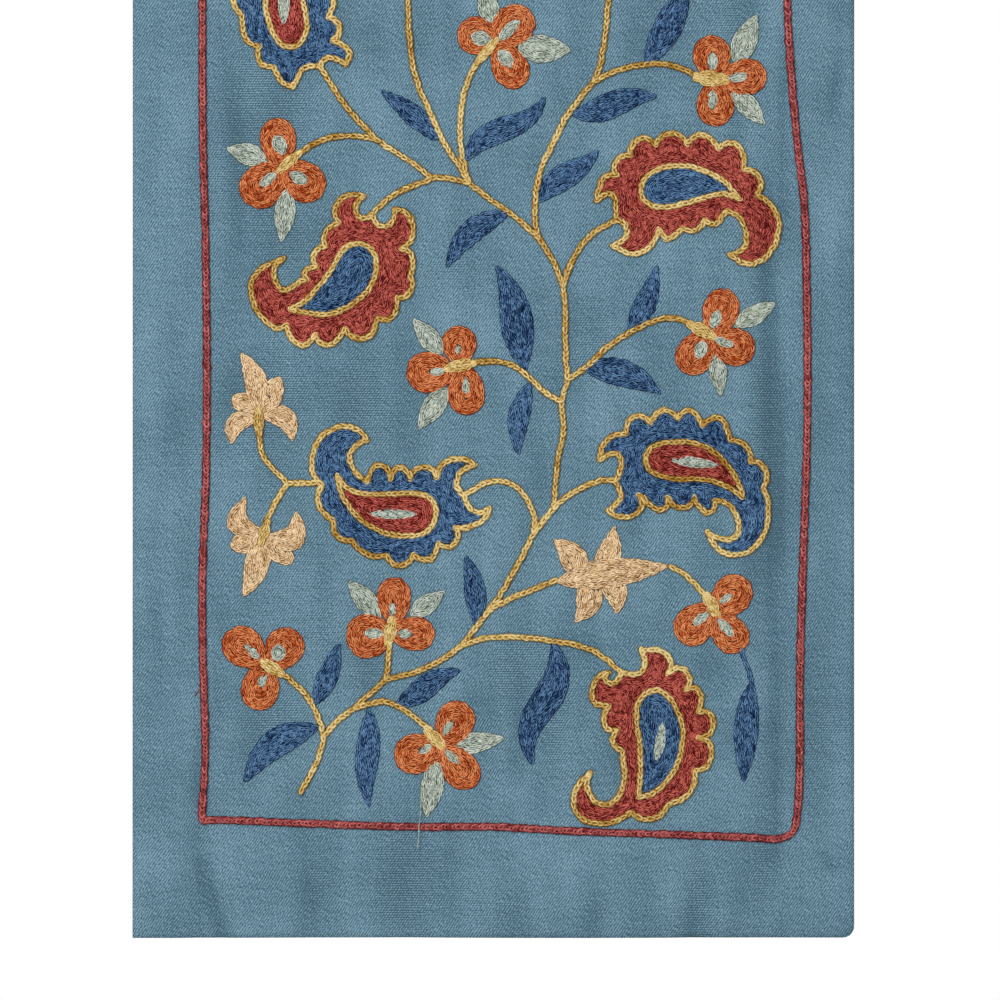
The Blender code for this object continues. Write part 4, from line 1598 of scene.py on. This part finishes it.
class HANGING_OT_stage(bpy.types.Operator):
    """Set the floor, the lights, the background and the camera"""
    bl_idname = "hanging.stage"
    bl_label = "Studio"

    def execute(self, context):
        scene, settings = context.scene, context.scene.hanging_stage
        middle = Vector(PHOTO_MIDDLE)
        bpy.ops.mesh.primitive_circle_add(vertices=FLOOR_SIDES, radius=settings.floor_radius,
                                          fill_type="NGON", location=(0.0, 0.0, 0.0))
        floor = context.object
        floor.name = "studio_floor"
        for vert in floor.data.vertices:
            vert.co.z = -PANEL_LENGTH - FLOOR_DROP
        material, _, shader = new_material("pale floor", FLOOR_ROUGHNESS)
        shader.inputs["Base Color"].default_value = FLOOR_COLOUR
        floor.data.materials.append(material)
        for look in LIGHTS:
            light = bpy.data.lights.new(look["name"], "AREA")
            light.size = look["size"]
            light.energy = settings.light * look["share"]
            lamp = bpy.data.objects.new(look["name"], light)
            lamp.location = look["spot"]
            lamp.rotation_euler = (middle - lamp.location).to_track_quat("-Z", "Y").to_euler()
            scene.collection.objects.link(lamp)
        camera = bpy.data.objects.new("photo camera", bpy.data.cameras.new("photo camera"))
        camera.data.lens = LENS
        camera.data.sensor_width = SENSOR_WIDTH
        camera.location = middle + Vector((0.0, -settings.distance, 0.0))
        camera.rotation_euler = (math.pi / 2, 0.0, 0.0)
        scene.collection.objects.link(camera)
        scene.camera = camera
        self.light_the_world(scene)
        scene.view_settings.view_transform = "Standard"
        return {"FINISHED"}

    def light_the_world(self, scene):
        """A white background for the camera, and a softer, even light on everything else."""
        world = scene.world or bpy.data.worlds.new("studio")
        scene.world = world
        world.use_nodes = True
        tree = world.node_tree
        tree.nodes.clear()
        seen = add_node(tree, "ShaderNodeBackground", **SEEN_WORLD)
        cast = add_node(tree, "ShaderNodeBackground", **CAST_WORLD)
        either = tree.nodes.new("ShaderNodeMixShader")
        tree.links.new(tree.nodes.new("ShaderNodeLightPath").outputs["Is Camera Ray"], either.inputs["Fac"])
        tree.links.new(cast.outputs["Background"], either.inputs[1])
        tree.links.new(seen.outputs["Background"], either.inputs[2])
        output = tree.nodes.new("ShaderNodeOutputWorld")
        tree.links.new(either.outputs["Shader"], output.inputs["Surface"])


STEPS = (HANGING_OT_cloth, HANGING_OT_vine, HANGING_OT_paisleys, HANGING_OT_flowers, HANGING_OT_leaves,
         HANGING_OT_lilies, HANGING_OT_border, HANGING_OT_loose_ends, HANGING_OT_stage)


class HANGING_PT_panel(bpy.types.Panel):
    """The settings, and a button for each step"""
    bl_label = "Embroidered hanging"
    bl_idname = "HANGING_PT_panel"
    bl_space_type = "VIEW_3D"
    bl_region_type = "UI"
    bl_category = "Hanging"

    def draw(self, context):
        scene = context.scene
        for settings in (scene.hanging_panel, scene.hanging_wool, scene.hanging_stage):
            box = self.layout.box()
            for name in settings.__annotations__:
                box.prop(settings, name)
        for step in STEPS:
            self.layout.operator(step.bl_idname)


SETTINGS = {"hanging_panel": PanelSettings, "hanging_wool": WoolSettings, "hanging_stage": StageSettings}


def register():
    """Make the settings, the operators and the panel known to Blender."""
    for name, group in SETTINGS.items():
        bpy.utils.register_class(group)
        setattr(bpy.types.Scene, name, bpy.props.PointerProperty(type=group))
    for made in (*STEPS, HANGING_PT_panel):
        bpy.utils.register_class(made)


def unregister():
    """Take back what register made known."""
    for made in (HANGING_PT_panel, *reversed(STEPS)):
        bpy.utils.unregister_class(made)
    for name, group in SETTINGS.items():
        delattr(bpy.types.Scene, name)
        bpy.utils.unregister_class(group)


def main():
    register()
    bpy.ops.hanging.cloth()
    bpy.ops.hanging.vine()
    bpy.ops.hanging.paisleys()
    bpy.ops.hanging.flowers()
    bpy.ops.hanging.leaves()
    bpy.ops.hanging.lilies()
    bpy.ops.hanging.border()
    bpy.ops.hanging.loose_ends()
    bpy.ops.hanging.stage()


if __name__ == "__main__":
    main()
